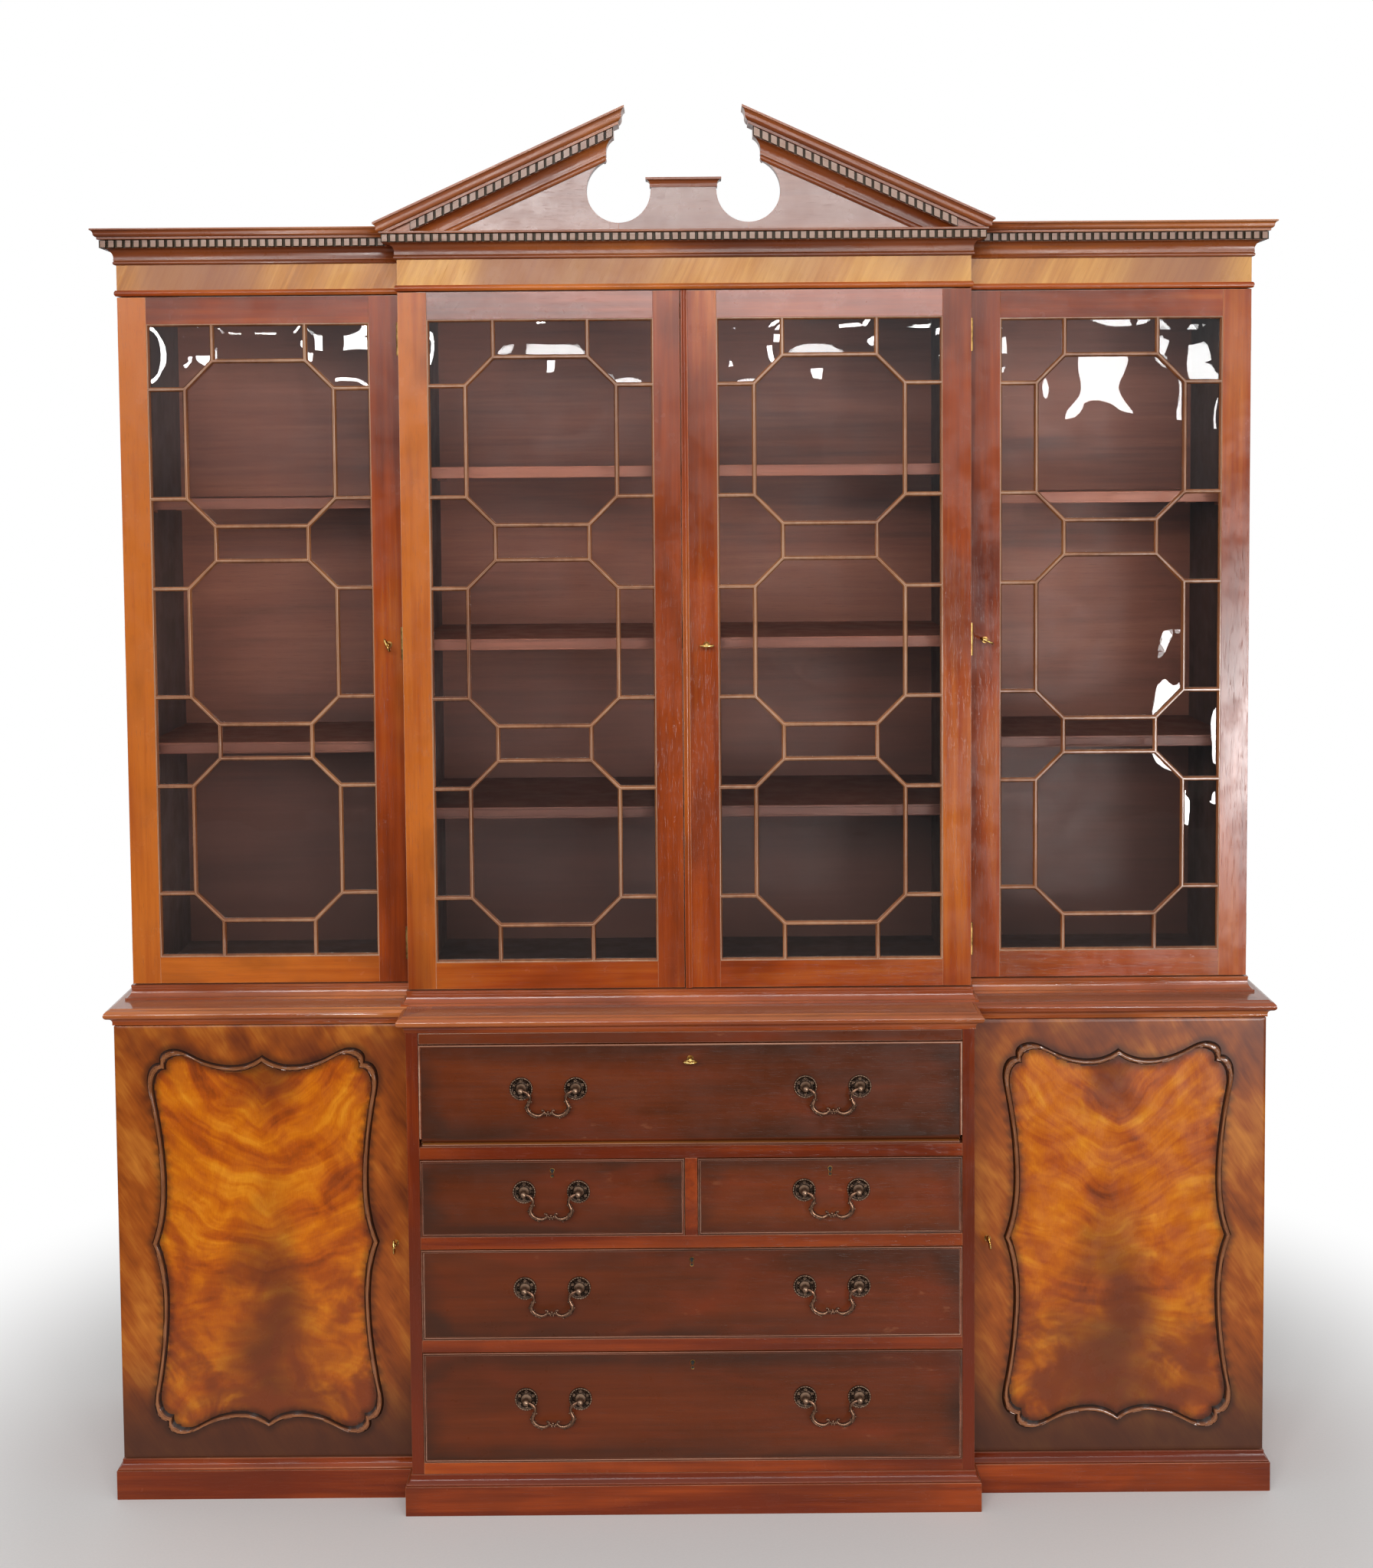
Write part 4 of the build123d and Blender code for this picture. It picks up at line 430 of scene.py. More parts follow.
def keep_piece(whole, name, node, finishes, smooth_deg=50.0):
    """Turns a bmesh into a piece that rides with a node's body and stands for the node."""
    for edge in whole.edges:
        edge.smooth = not edge.is_manifold or edge.calc_face_angle(0) < math.radians(smooth_deg)
    for face in whole.faces:
        face.smooth = True
    mesh = bpy.data.meshes.new(name)
    whole.to_mesh(mesh)
    whole.free()
    for finish in finishes:
        mesh.materials.append(finish)
    piece = bpy.data.objects.new(name, mesh)
    scene.collection.objects.link(piece)
    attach(piece, frame["nodes"][node]["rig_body"])
    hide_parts(node)
    evened = piece.modifiers.new("even_normals", "WEIGHTED_NORMAL")
    evened.keep_sharp = True
    return piece


def paint_boards(whole, mark, chooser):
    """Gives every board a material number, chosen from its lowest and highest corner."""
    groups = {}
    for face in whole.faces:
        groups.setdefault(face[mark], []).append(face)
    for faces in groups.values():
        spots = [vertex.co for face in faces for vertex in face.verts]
        low = Vector([min(spot[axis] for spot in spots) for axis in range(3)])
        high = Vector([max(spot[axis] for spot in spots) for axis in range(3)])
        for face in faces:
            face.material_index = chooser(low, high)


def write_rim(whole, shade, width, line=0.0):
    """A point attribute on the big front faces: 1 at their border, and 0 from that width inwards.
    With a line, a strip that wide along the border wears the worn edge's finish."""
    def fronts():
        return [face for face in whole.faces if face.normal.y < -0.99 and face.material_index == 0
                and face.calc_area() > 0.0002 and face.calc_center_median().y < -215 * MM]

    spots = [vertex.co for face in fronts() for vertex in face.verts]
    low = Vector([min(spot[axis] for spot in spots) for axis in range(3)])
    high = Vector([max(spot[axis] for spot in spots) for axis in range(3)])
    for axis in (0, 2):
        normal = Vector([float(axis == number) for number in range(3)])
        for place in (low[axis] + width, high[axis] - width, low[axis] + line, high[axis] - line):
            if place in (low[axis], high[axis]):
                continue
            faces = fronts()
            geom = with_edges(faces)
            bmesh.ops.bisect_plane(whole, geom=geom, plane_co=normal * place, plane_no=normal, dist=1e-6)
    for vertex in {vertex for face in fronts() for vertex in face.verts}:
        inside = min(min(vertex.co[axis] - low[axis], high[axis] - vertex.co[axis]) for axis in (0, 2))
        vertex[shade] = 1 - min(1.0, inside / width)
    for face in whole.faces if line else []:
        spot = face.calc_center_median()
        margin = min(min(spot[axis] - low[axis], high[axis] - spot[axis]) for axis in (0, 2))
        if face.normal.y < -0.99 and abs(spot.y - low.y) < 0.1 * MM and 0 < margin < line:
            face.material_index = 1


def dress(node, finishes, width=ARRIS, segments=2, along=None, least=6.0, smooth_deg=50.0,
          chooser=lambda low, high: 0, tint_of=None, rim=0.0, line=0.0,
          repaint=lambda face: None):
    """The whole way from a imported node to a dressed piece. The second finish is for the worn edges."""
    whole, mark = boards_of(node)
    soften(whole, width, segments, least)
    shade = whole.verts.layers.float.new("rim")
    if rim:
        write_rim(whole, shade, rim, line)
    edges = {face for face in whole.faces if face.material_index == 1}
    paint_boards(whole, mark, chooser)
    for face in edges:
        face.material_index = 1 if face.material_index == 0 else face.material_index
    for face in whole.faces:
        chosen = repaint(face)
        face.material_index = face.material_index if chosen is None else chosen
    write_grain(whole, mark, along, sum(map(ord, node)), tint_of)
    faces = len(whole.faces)
    piece = keep_piece(whole, f"{node}_wood", node, finishes, smooth_deg)
    print(f"{node}: {faces} faces")
    return piece


# %% [markdown]
# ## Mahogany
# Straight mahogany shows long soft streaks, finer dark lines of pores along the grain, and slow changes of
# tone across a board. The streaks are one noise stretched along the grain, the pores a second one
# stretched further, and the slow change a third. French polish over it gives a soft shine, which is less
# where the pores stay open. Old polish also darkens, so each board has its own tint.

# %% A recipe for polished wood
def grain_of(recipe):
    return recipe.add("ShaderNodeAttribute", attribute_name="grain", output=1)


def mahogany(name, dark, mid, light, streak=0.055, contrast=1.0, shine=0.32, level=0.3, extra=None):
    """Polished wood; extra may repaint the colour before the polish goes on."""
    wood = Recipe(name)
    grain = grain_of(wood)
    slow = wood.noise(wood.scale(grain, (1.0, 1.0, 0.16)), streak * 2.2, 2.0, 0.5, 0.6)
    band = wood.noise(wood.scale(grain, (1.0, 1.0, 0.035)), streak * 0.22, 4.0, 0.62, 0.25)
    value = wood.math("ADD", wood.math("MULTIPLY", slow, 0.62), wood.math("MULTIPLY", band, 0.38))
    value = wood.math("ADD", wood.math("MULTIPLY", wood.math("SUBTRACT", value, 0.5), contrast), 0.5)
    tint = wood.written("tint")
    value = wood.math("ADD", value, wood.math("MULTIPLY", tint, 0.09))
    colour = wood.tones(value, (0.30, dark), (0.50, mid), (0.70, light))
    pores = wood.noise(wood.scale(grain, (1.0, 1.0, 0.028)), 0.0009, 2.0, 0.6)
    open_pores = wood.between(pores, 0.60, 0.70)
    colour = wood.mix(wood.math("MULTIPLY", open_pores, 0.45), colour, dark)
    if extra:
        colour = extra(wood, colour, grain)
    worn = wood.noise(grain, 0.05, 3.0, 0.6)
    rough = wood.math("ADD", wood.between(worn, 0.3, 0.7, shine - 0.05, shine + 0.07),
                      wood.math("MULTIPLY", open_pores, 0.12))
    dip = wood.add("ShaderNodeBump", {"Strength": 0.35, "Distance": 0.00015, "Height": wood.math(
        "SUBTRACT", 1.0, open_pores)})
    return wood.finish(Base_Color=colour, Roughness=rough, Normal=dip, Specular_IOR_Level=level)


def aged(wood, colour, grain):
    """Darker clouds where polish and dust have settled."""
    cloud = wood.noise(wood.scale(grain, (1.0, 1.0, 0.45)), 0.13, 3.0, 0.55, 0.4)
    colour = wood.mix(wood.between(cloud, 0.42, 0.68, 0.0, 0.45), colour, tone(84, 34, 16))
    # Then the faces that look up are made paler, with dust and a painted sheen.
    return dust_and_sheen_above(wood, colour)


def dust_and_sheen_above(wood, colour, most=0.5):
    """Upward faces are paler: dust, and a painted sheen of the light from above."""
    facing = wood.parts(wood.add("ShaderNodeTexCoord", output=1))
    return wood.mix(wood.between(facing[2], 0.75, 1.0, 0.0, most), colour, tone(150, 106, 84))


def shaded_front(wood, colour, grain):
    """A drawer front: redder towards the middle, and painted shade that goes nearly black towards its border."""
    cloud = wood.noise(wood.scale(grain, (1.0, 1.0, 0.35)), 0.11, 3.0, 0.6, 0.5)
    colour = wood.mix(wood.between(cloud, 0.46, 0.72, 0.0, 0.42), colour, tone(134, 52, 22))
    rub = wood.noise(wood.scale(grain, (1.0, 1.0, 0.4)), 0.016, 3.0, 0.6)
    rubbed = wood.math("MULTIPLY", wood.between(rub, 0.60, 0.70), wood.between(cloud, 0.55, 0.66))
    colour = wood.mix(wood.math("MULTIPLY", rubbed, 0.3), colour, tone(176, 112, 76))
    # Painted shade: the rim attribute darkens the front towards its border.
    rim = wood.written("rim")
    edge = wood.math("MULTIPLY", wood.between(rim, 0.1, 1.05, 0.0, 0.8), wood.between(cloud, 0.25, 0.65, 1.0, 0.4))
    return wood.mix(edge, colour, tone(46, 34, 26))


CASE_TONES = tone(112, 40, 12), tone(166, 70, 20), tone(206, 112, 40)
CASE = mahogany("case_mahogany", *CASE_TONES, level=0.3, shine=0.21, extra=aged)
TOP_RAIL = mahogany("top_rail_mahogany", *CASE_TONES, level=0.85, shine=0.3, extra=aged)
WAIST = mahogany("waist_mahogany", tone(112, 40, 12), tone(166, 80, 36), tone(204, 122, 62), level=0.5, shine=0.14,
                 extra=aged)
CASE_EDGE = mahogany("case_worn_edge", tone(128, 62, 34), tone(186, 112, 72), tone(222, 168, 128), shine=0.26)
DRAWER = mahogany("drawer_front_mahogany", tone(76, 36, 16), tone(104, 46, 19), tone(130, 60, 26), contrast=0.8,
                  level=0.2, extra=shaded_front)
DRAWER_EDGE = mahogany("cock_bead_worn_edge", tone(108, 62, 44), tone(168, 120, 96), tone(205, 165, 140))
print("woods:", len(bpy.data.materials))

# %% [markdown]
# ## The other woods
# The frieze is crossbanded: thin golden veneer laid with its grain across the board, with slanting
# streaks and redder stretches. The board of the pediment is a quiet, purplish mahogany. The drawer linings,
# shelves and back boards are plainer wood, dulled by age, with less polish on them, and painted shade low down.
# Inside the secretaire the wood is paler, and its fall has a leather to write on, let into the inner face:
# a distance to the nearest border draws both the leather's edge and its gilt line.

# %% Finishes for frieze, pediment and insides
def slanting(low, high):
    """Grain that leans across a veneer instead of following its length."""
    if (high - low).z < 20 * MM:
        return None
    return Vector((0.42, 0.0, 0.9)).normalized() if high.x - low.x > high.y - low.y else Vector((0, 0.42, 0.9))


def redder_stretch(wood, colour, grain):
    """The veneer's redder stretches, in slow patches along the frieze."""
    place = wood.place()
    patch = wood.noise(wood.scale(place, (1.0, 1.0, 0.4)), 0.42, 1.0, 0.5)
    return wood.mix(wood.between(patch, 0.49, 0.62, 0.0, 0.75), colour, tone(160, 100, 70))


def dusty(wood, colour, grain):
    """Old wax and dust: greyish patches that sit on the surface."""
    place = wood.place()
    patch = wood.noise(place, 0.16, 4.0, 0.6)
    return wood.mix(wood.between(patch, 0.42, 0.72, 0.0, 0.4), colour, tone(144, 104, 84))


# The teeth are paler with dust and a painted sheen; the gaps between them are dark with dust and painted shade.
DENTIL = mahogany("dentil_dust_and_sheen", tone(124, 84, 62), tone(152, 112, 88), tone(170, 132, 106), level=0.5)
DENTIL_GAP_DUST_AND_SHADE = mahogany("dentil_gap_dust_and_shade", tone(52, 40, 28), tone(70, 56, 40), tone(84, 68, 50), level=0.1)
CORNICE = mahogany("cornice_mahogany", tone(96, 42, 18), tone(146, 72, 28), tone(190, 108, 46), level=0.5, shine=0.3,
                   extra=aged)
BAR = mahogany("glazing_bar_mahogany", tone(104, 56, 30), tone(146, 86, 46), tone(176, 116, 70), level=0.7,
               shine=0.18, extra=aged)
# The bars' bevelled arrises are pale cream: worn edges with a painted highlight.
BAR_EDGE_WEAR_AND_HIGHLIGHT = mahogany("glazing_bar_edge_wear_and_highlight", tone(170, 122, 88), tone(204, 164, 132), tone(226, 196, 170), shine=0.26)
# Painted shade: a dark finish for the inner faces of the upper case.
INSIDE_PAINTED_SHADE = mahogany("case_inside_painted_shade", tone(42, 30, 26), tone(62, 44, 38), tone(78, 56, 48), shine=0.5, level=0.15)
FRIEZE = mahogany("crossbanded_veneer", tone(168, 98, 38), tone(206, 136, 56), tone(232, 170, 82), streak=0.03,
                  level=0.3, extra=redder_stretch)
FRIEZE_EDGE = mahogany("veneer_worn_edge", tone(190, 130, 80), tone(220, 165, 110), tone(235, 190, 140))
BOARD = mahogany("pediment_board_mahogany", tone(104, 54, 38), tone(136, 78, 54), tone(158, 98, 68), contrast=0.7,
                 shine=0.3, level=1.0, extra=dusty)


def shade_painted_below(wood, colour, grain):
    """Inside the case, the boards are darkened with painted shade towards the bottom."""
    height = wood.parts(wood.place())[2]
    return wood.mix(wood.between(height, 1.0, 1.75, 0.78, 0.0), colour, tone(40, 20, 14))


PLAIN = mahogany("plain_inside_wood", tone(66, 33, 22), tone(102, 55, 38), tone(122, 72, 52), contrast=0.8,
                 shine=0.5, level=0.2, extra=shade_painted_below)
PLAIN_EDGE = mahogany("plain_inside_edge", tone(100, 66, 48), tone(136, 96, 72), tone(160, 120, 94), shine=0.45)
LINING = mahogany("drawer_lining", tone(132, 88, 52), tone(168, 122, 78), tone(190, 146, 98), shine=0.6, level=0.2)
DESK_TONES = tone(150, 84, 40), tone(186, 116, 58), tone(212, 146, 82)
INSIDE = mahogany("desk_interior_veneer", *DESK_TONES, shine=0.35)
LEATHER_HALF, LEATHER_LOW, LEATHER_HIGH, GILT_IN = 0.425, 0.676, 0.806, 0.009


def leathered(wood, colour, grain):
    """A let-in leather with a tooled gilt line, on the inner face of the fall."""
    place = wood.place()
    x, _, z = wood.parts(place)
    across = wood.math("SUBTRACT", LEATHER_HALF, wood.math("ABSOLUTE", x))
    middle, half = (LEATHER_LOW + LEATHER_HIGH) / 2, (LEATHER_HIGH - LEATHER_LOW) / 2
    along = wood.math("SUBTRACT", half, wood.math("ABSOLUTE", wood.math("SUBTRACT", z, middle)))
    inside = wood.math("MINIMUM", across, along)
    hide = wood.mix(wood.noise(place, 0.0016, 2.0, 0.6), tone(30, 52, 34), tone(58, 84, 56))
    colour = wood.mix(wood.between(inside, 0.0, 0.0006), colour, hide)
    line = wood.math("SUBTRACT", inside, GILT_IN)
    return wood.mix(wood.between(wood.math("ABSOLUTE", line), 0.0006, 0.0013, 1.0, 0.0), colour, tone(190, 150, 76))


WRITING = mahogany("writing_surface", *DESK_TONES, shine=0.42, extra=leathered)
INSIDE_EDGE = mahogany("desk_interior_edge", tone(180, 120, 72), tone(206, 150, 98), tone(226, 180, 130))
print("woods and leather:", len(bpy.data.materials))


# %% Dress the case, doors, drawers and insides
WINGS = ("left_wing", "left_centre", "right_centre", "right_wing")
SLOPE = math.tan(math.radians(24.25))


def rake(low, high):
    """The raking cornices' grain climbs with them."""
    if high.x - low.x < 150 * MM or high.z - low.z < 60 * MM:
        return None
    return Vector((1, 0, -SLOPE if low.x + high.x > 0 else SLOPE)).normalized()


STILE_PAINTED_LIGHT = ((-0.97, 2.1), (-0.53, -0.1), (-0.47, 1.2), (-0.03, 0.1), (0.03, 0.1), (0.465, 0.2), (0.53, -0.7),
               (0.97, 0.4))


def door_painted_light(low, high, share):
    """Stiles tinted one by one with painted light: the outer left one is painted brightest, as if lit from the left.
    Bottom rails are painted a little paler, and top rails a little darker.
    """
    if high.z - low.z > 1.0:
        middle = (low.x + high.x) / 2
        return min(STILE_PAINTED_LIGHT, key=lambda pair: abs(pair[0] - middle))[1]
    return 0.9 if high.z < 1.1 else -0.9


def inside_face(face):
    """The faces of the upper case that only show through the glass; they take the dark finish, painted shade for the
    inside.
    """
    spot, way = face.calc_center_median(), face.normal
    if not 0.9 < spot.z < 2.13 or way.y < -0.5:
        return None
    upright = abs(way.x) > 0.9 and abs(spot.x) < 0.985
    level = abs(way.z) > 0.9 and spot.y > -0.14
    return 2 if upright or level else None


def comb(low, high):
    """The strips of dentils are combs cut from one thin batten; between the teeth they're dark with dust and painted
    shade.
    """
    size = high - low
    return 2 if min(size.x, size.y) < 7.5 * MM and size.z > 12 * MM and max(size.x, size.y) > 60 * MM else 0


def tooth(face):
    """The outer face of one dentil, told by its size."""
    upright, flat = abs(face.normal.z) < 0.1, 85e-6 < face.calc_area() < 150e-6
    return 3 if face.material_index == 2 and upright and flat else None


def front_or_lining(low, high):
    """A drawer's front and its beads are polished; its sides, back and bottom are plain inside wood."""
    return 0 if high.y < -195 * MM else 2


def lower_tint(low, high, share):
    """The uprights beside the drawers are the darkest boards; the bottoms are dark too."""
    if max(high.x, -low.x) < 0.6 and high.z - low.z > 0.5:
        return -2.2
    return -1.0 if high.z < 0.12 else share


dress("plinth", [CASE, CASE_EDGE], tint_of=lambda low, high, share: 0.5 * share - 2.0)
dress("drawer_rails", [CASE, CASE_EDGE], tint_of=lambda low, high, share: 0.5 * share - 1.2)
dress("waist", [WAIST, WAIST])
dress("lower_carcass", [CASE, CASE_EDGE], tint_of=lower_tint)
dress("upper_carcass", [CASE, CASE_EDGE, INSIDE_PAINTED_SHADE], repaint=inside_face)
dress("cornice", [CORNICE, CASE_EDGE, DENTIL_GAP_DUST_AND_SHADE, DENTIL], chooser=comb, repaint=tooth)
for side in WINGS:
    dress(f"{side}_door_frame", [CASE, CASE_EDGE, TOP_RAIL], tint_of=door_painted_light,
          chooser=lambda low, high: 2 if low.z > 2.0 and high.z - low.z < 0.2 and "centre" in side else 0)
dress("pediment_mouldings", [CORNICE, CASE_EDGE, DENTIL_GAP_DUST_AND_SHADE, DENTIL], along=rake, chooser=comb,
      repaint=tooth)
dress("frieze", [FRIEZE, FRIEZE_EDGE, CASE], along=slanting,
      chooser=lambda low, high: 2 if high.z - low.z < 20 * MM else 0)
dress("tympanum", [BOARD, CASE_EDGE])
for node in ("back_boards", "shelves"):
    dress(node, [PLAIN, PLAIN_EDGE])
for node in ("bottom_drawer", "long_drawer", "left_short_drawer", "right_short_drawer"):
    dress(node, [DRAWER, DRAWER_EDGE, LINING], chooser=front_or_lining, rim=55 * MM)
dress("secretaire_fall", [DRAWER, DRAWER_EDGE, WRITING], rim=55 * MM, line=2.2 * MM,
      repaint=lambda face: 2 if face.normal.y > 0.95 and face.calc_area() > 2e-3 else None)
dress("secretaire_box", [INSIDE, INSIDE_EDGE, CASE, DRAWER_EDGE, DRAWER],
      chooser=lambda low, high: 2 if high.y < -190 * MM or low.z > 826 * MM else 0,
      repaint=lambda face: None if face.calc_center_median().y > -212 * MM else 4 if face.normal.y < -0.95 else 3)
for node in ("secretaire_interior", "small_drawer"):
    dress(node, [INSIDE, INSIDE_EDGE])
for side in WINGS:
    dress(f"{side}_door_glazing_bars", [BAR, BAR_EDGE_WEAR_AND_HIGHLIGHT], width=0.7 * MM, segments=1)

# %% [markdown]
# ## Flame veneer
# The cupboard doors wear crotch mahogany, cut where a trunk forks. Its figure is a feather: streaks leave
# a dark plume in the middle, rise outwards above and droop outwards below. One number, constant along
# such a streak, is all that is needed: height less a slope that changes with height. Noise stretched along
# that number makes the streaks, and a second, rounder noise makes the mottling. Outside the moulding the
# same veneer is laid as a border with its grain on the slant, and darkens towards the floor. The moulding
# between them is a bead: its flat crown is inset twice, and each shoulder is set a little lower, which
# rounds it.

# %% Write the flame veneer
def feather(wood, place, drift):
    """The streak value of the figure at a place measured from the door's middle."""
    bend = wood.add("ShaderNodeTexNoise", {"Vector": wood.shift(place, drift), "Scale": 6.5, "Detail": 2.0}, output=1)
    bent = wood.add("ShaderNodeVectorMath", {0: wood.shift(bend, (-0.5, -0.5, -0.5)), 1: (0.11, 0.0, 0.11), 2: place},
                    operation="MULTIPLY_ADD")
    across, _, up = wood.parts(bent)
    away = wood.math("ABSOLUTE", across)
    slope = wood.math("ADD", wood.math("MULTIPLY", up, 2.2), 0.25)
    line = wood.math("SUBTRACT", up, wood.math("MULTIPLY", slope, away))
    return across, up, line


def streaks(wood, across, line, size, drift):
    """Noise that is long across the figure's lines and short along their number."""
    point = wood.add("ShaderNodeCombineXYZ", {0: wood.math("MULTIPLY", across, 0.13), 1: drift, 2: line})
    return wood.noise(point, size, 3.0, 0.6)


def flame_veneer(name, middle, drift, plume_at, plume_width):
    wood = Recipe(name)
    place = wood.shift(wood.place(), (-middle.x, 0.0, -middle.z))
    across, up, line = feather(wood, place, (drift, 0.0, drift))
    value = wood.math("ADD", wood.math("MULTIPLY", streaks(wood, across, line, 0.035, drift), 0.42),
                      wood.math("MULTIPLY", streaks(wood, across, line, 0.011, drift + 4), 0.2))
    mottle = wood.noise(wood.shift(place, (drift * 3, 0, 1)), 0.085, 3.0, 0.6, 0.8)
    value = wood.math("ADD", value, wood.math("MULTIPLY", mottle, 0.38))
    fibre = wood.noise(wood.scale(place, (1.0, 1.0, 0.14)), 0.0016, 2.0, 0.6)
    value = wood.math("ADD", value, wood.math("MULTIPLY", wood.math("SUBTRACT", fibre, 0.5), 0.10))
    colour = wood.tones(value, (0.34, tone(124, 52, 13)), (0.45, tone(184, 84, 12)), (0.54, tone(212, 114, 12)),
                        (0.66, tone(240, 156, 36)))
    sway = wood.noise(wood.scale(place, (0.6, 1.0, 1.0)), 0.10, 3.0, 0.6)
    centre = wood.math("SUBTRACT", across, wood.math("ADD", wood.math("MULTIPLY", wood.math(
        "SUBTRACT", sway, 0.5), 0.12), plume_at))
    half = wood.between(up, -0.34, 0.12, plume_width, plume_width * 0.3)
    plume = wood.between(wood.math("DIVIDE", wood.math("ABSOLUTE", centre), half), 0.1, 2.1, 1.0, 0.0)
    plume = wood.math("MULTIPLY", plume, wood.between(wood.math("ADD", up, wood.math("MULTIPLY", sway, 0.15)),
                                                      -0.12, 0.26, 0.9, 0.04))
    colour = wood.mix(plume, colour, tone(88, 42, 22))
    crown = wood.math("MULTIPLY", wood.between(up, 0.19, 0.29, 0.0, 0.75),
                      wood.between(wood.math("ABSOLUTE", centre), 0.01, 0.07, 1.0, 0.0))
    colour = wood.mix(crown, colour, tone(104, 44, 20))
    low = wood.math("MULTIPLY", wood.between(up, -0.32, 0.05, 1.0, 0.0), wood.between(mottle, 0.4, 0.62, 0.95, 0.35))
    colour = wood.mix(low, colour, tone(122, 56, 24))
    sides = wood.between(wood.math("ABSOLUTE", across), 0.10, 0.20, 0.0, 0.42)
    colour = wood.mix(wood.math("MULTIPLY", sides, wood.between(mottle, 0.38, 0.6, 1.0, 0.2)), colour, tone(132, 58, 26))
    # Painted shade beside the moulding, from the rim attribute.
    rim = wood.written("rim")
    colour = wood.mix(wood.between(rim, 0.0, 1.0, 0.0, 0.66), colour, tone(48, 26, 16))
    worn = wood.noise(place, 0.04, 3.0, 0.6)
    return wood.finish(Base_Color=colour, Roughness=wood.between(worn, 0.3, 0.7, 0.22, 0.32),
                       Specular_IOR_Level=0.3)


def border_veneer(name, middle, drift):
    wood = Recipe(name)
    place = wood.shift(wood.place(), (-middle.x, 0.0, -middle.z))
    leaning = wood.add("ShaderNodeVectorRotate", {"Vector": place, "Angle": math.radians(32)},
                       rotation_type="Y_AXIS")
    broad = wood.noise(wood.shift(wood.scale(leaning, (1.0, 1.0, 0.3)), (drift, 0, 0)), 0.05, 3.0, 0.6, 0.5)
    fine = wood.noise(wood.scale(leaning, (1.0, 1.0, 0.08)), 0.004, 3.0, 0.6)
    patch = wood.noise(wood.shift(place, (0, 0, drift)), 0.12, 3.0, 0.6)
    value = wood.math("ADD", wood.math("ADD", wood.math("MULTIPLY", broad, 0.5), wood.math("MULTIPLY", fine, 0.15)),
                      wood.math("MULTIPLY", patch, 0.35))
    colour = wood.tones(value, (0.36, tone(112, 48, 14)), (0.50, tone(164, 82, 22)), (0.64, tone(204, 124, 44)))
    up = wood.parts(place)[2]
    low = wood.between(up, -0.37, -0.16, 0.92, 0.0)
    colour = wood.mix(low, colour, tone(70, 38, 25))
    high = wood.between(up, 0.24, 0.37, 0.0, 0.5)
    colour = wood.mix(wood.math("MULTIPLY", high, wood.between(patch, 0.4, 0.62, 1.0, 0.1)), colour, tone(96, 42, 26))
    # Painted shade beside the moulding, from the rim attribute.
    rim = wood.written("rim")
    colour = wood.mix(wood.between(rim, 0.0, 1.0, 0.0, 0.66), colour, tone(44, 26, 18))
    return wood.finish(Base_Color=colour, Roughness=0.3, Specular_IOR_Level=0.3)


def bead_shade_and_highlight(name, foot, crest):
    """The applied moulding, with painted shade in its quirks and a painted highlight along its crest."""
    wood = Recipe(name)
    place = wood.place()
    rise = wood.math("DIVIDE", wood.math("SUBTRACT", foot, wood.parts(place)[1]), foot - crest)
    worn = wood.noise(place, 0.03, 3.0, 0.6)
    rise = wood.math("ADD", rise, wood.math("MULTIPLY", wood.math("SUBTRACT", worn, 0.5), 0.14))
    # Painted shade towards the foot, and a painted highlight at the crest.
    colour = wood.tones(rise, (0.35, tone(38, 22, 14)), (0.80, tone(74, 40, 23)), (0.93, tone(116, 66, 36)),
                        (1.0, tone(152, 96, 58)))
    return wood.finish(Base_Color=colour, Roughness=0.24, Specular_IOR_Level=0.5)


# %% Lay the veneer on the cupboard doors
from mathutils.kdtree import KDTree

SHADE_WIDTH, CELL = 15 * MM, 6 * MM
BEAD_STEPS = ((1.2 * MM, 1.7 * MM), (1.2 * MM, 0.5 * MM))


def closed_loops(edges):
    """The vertices of each closed loop among these edges, in order."""
    waiting, loops = set(edges), []
    while waiting:
        edge = next(edge for edge in edges if edge in waiting)
        waiting.remove(edge)
        loop, here = [edge.verts[0]], edge.verts[1]
        while here is not loop[0]:
            loop.append(here)
            onward = next(e for e in here.link_edges if e in waiting)
            waiting.remove(onward)
            here = onward.other_vert(here)
        loops.append([v.co.copy() for v in loop])
    return sorted(loops, key=lambda loop: max(p.x for p in loop) - min(p.x for p in loop))


def is_inside(spot, loop):
    """Whether a point of the door's face lies within an outline, by counting crossings."""
    crossings = 0
    for a, b in zip(loop, loop[1:] + loop[:1]):
        if (a.z > spot.z) != (b.z > spot.z) and spot.x < a.x + (spot.z - a.z) / (b.z - a.z) * (b.x - a.x):
            crossings += 1
    return crossings % 2 == 1


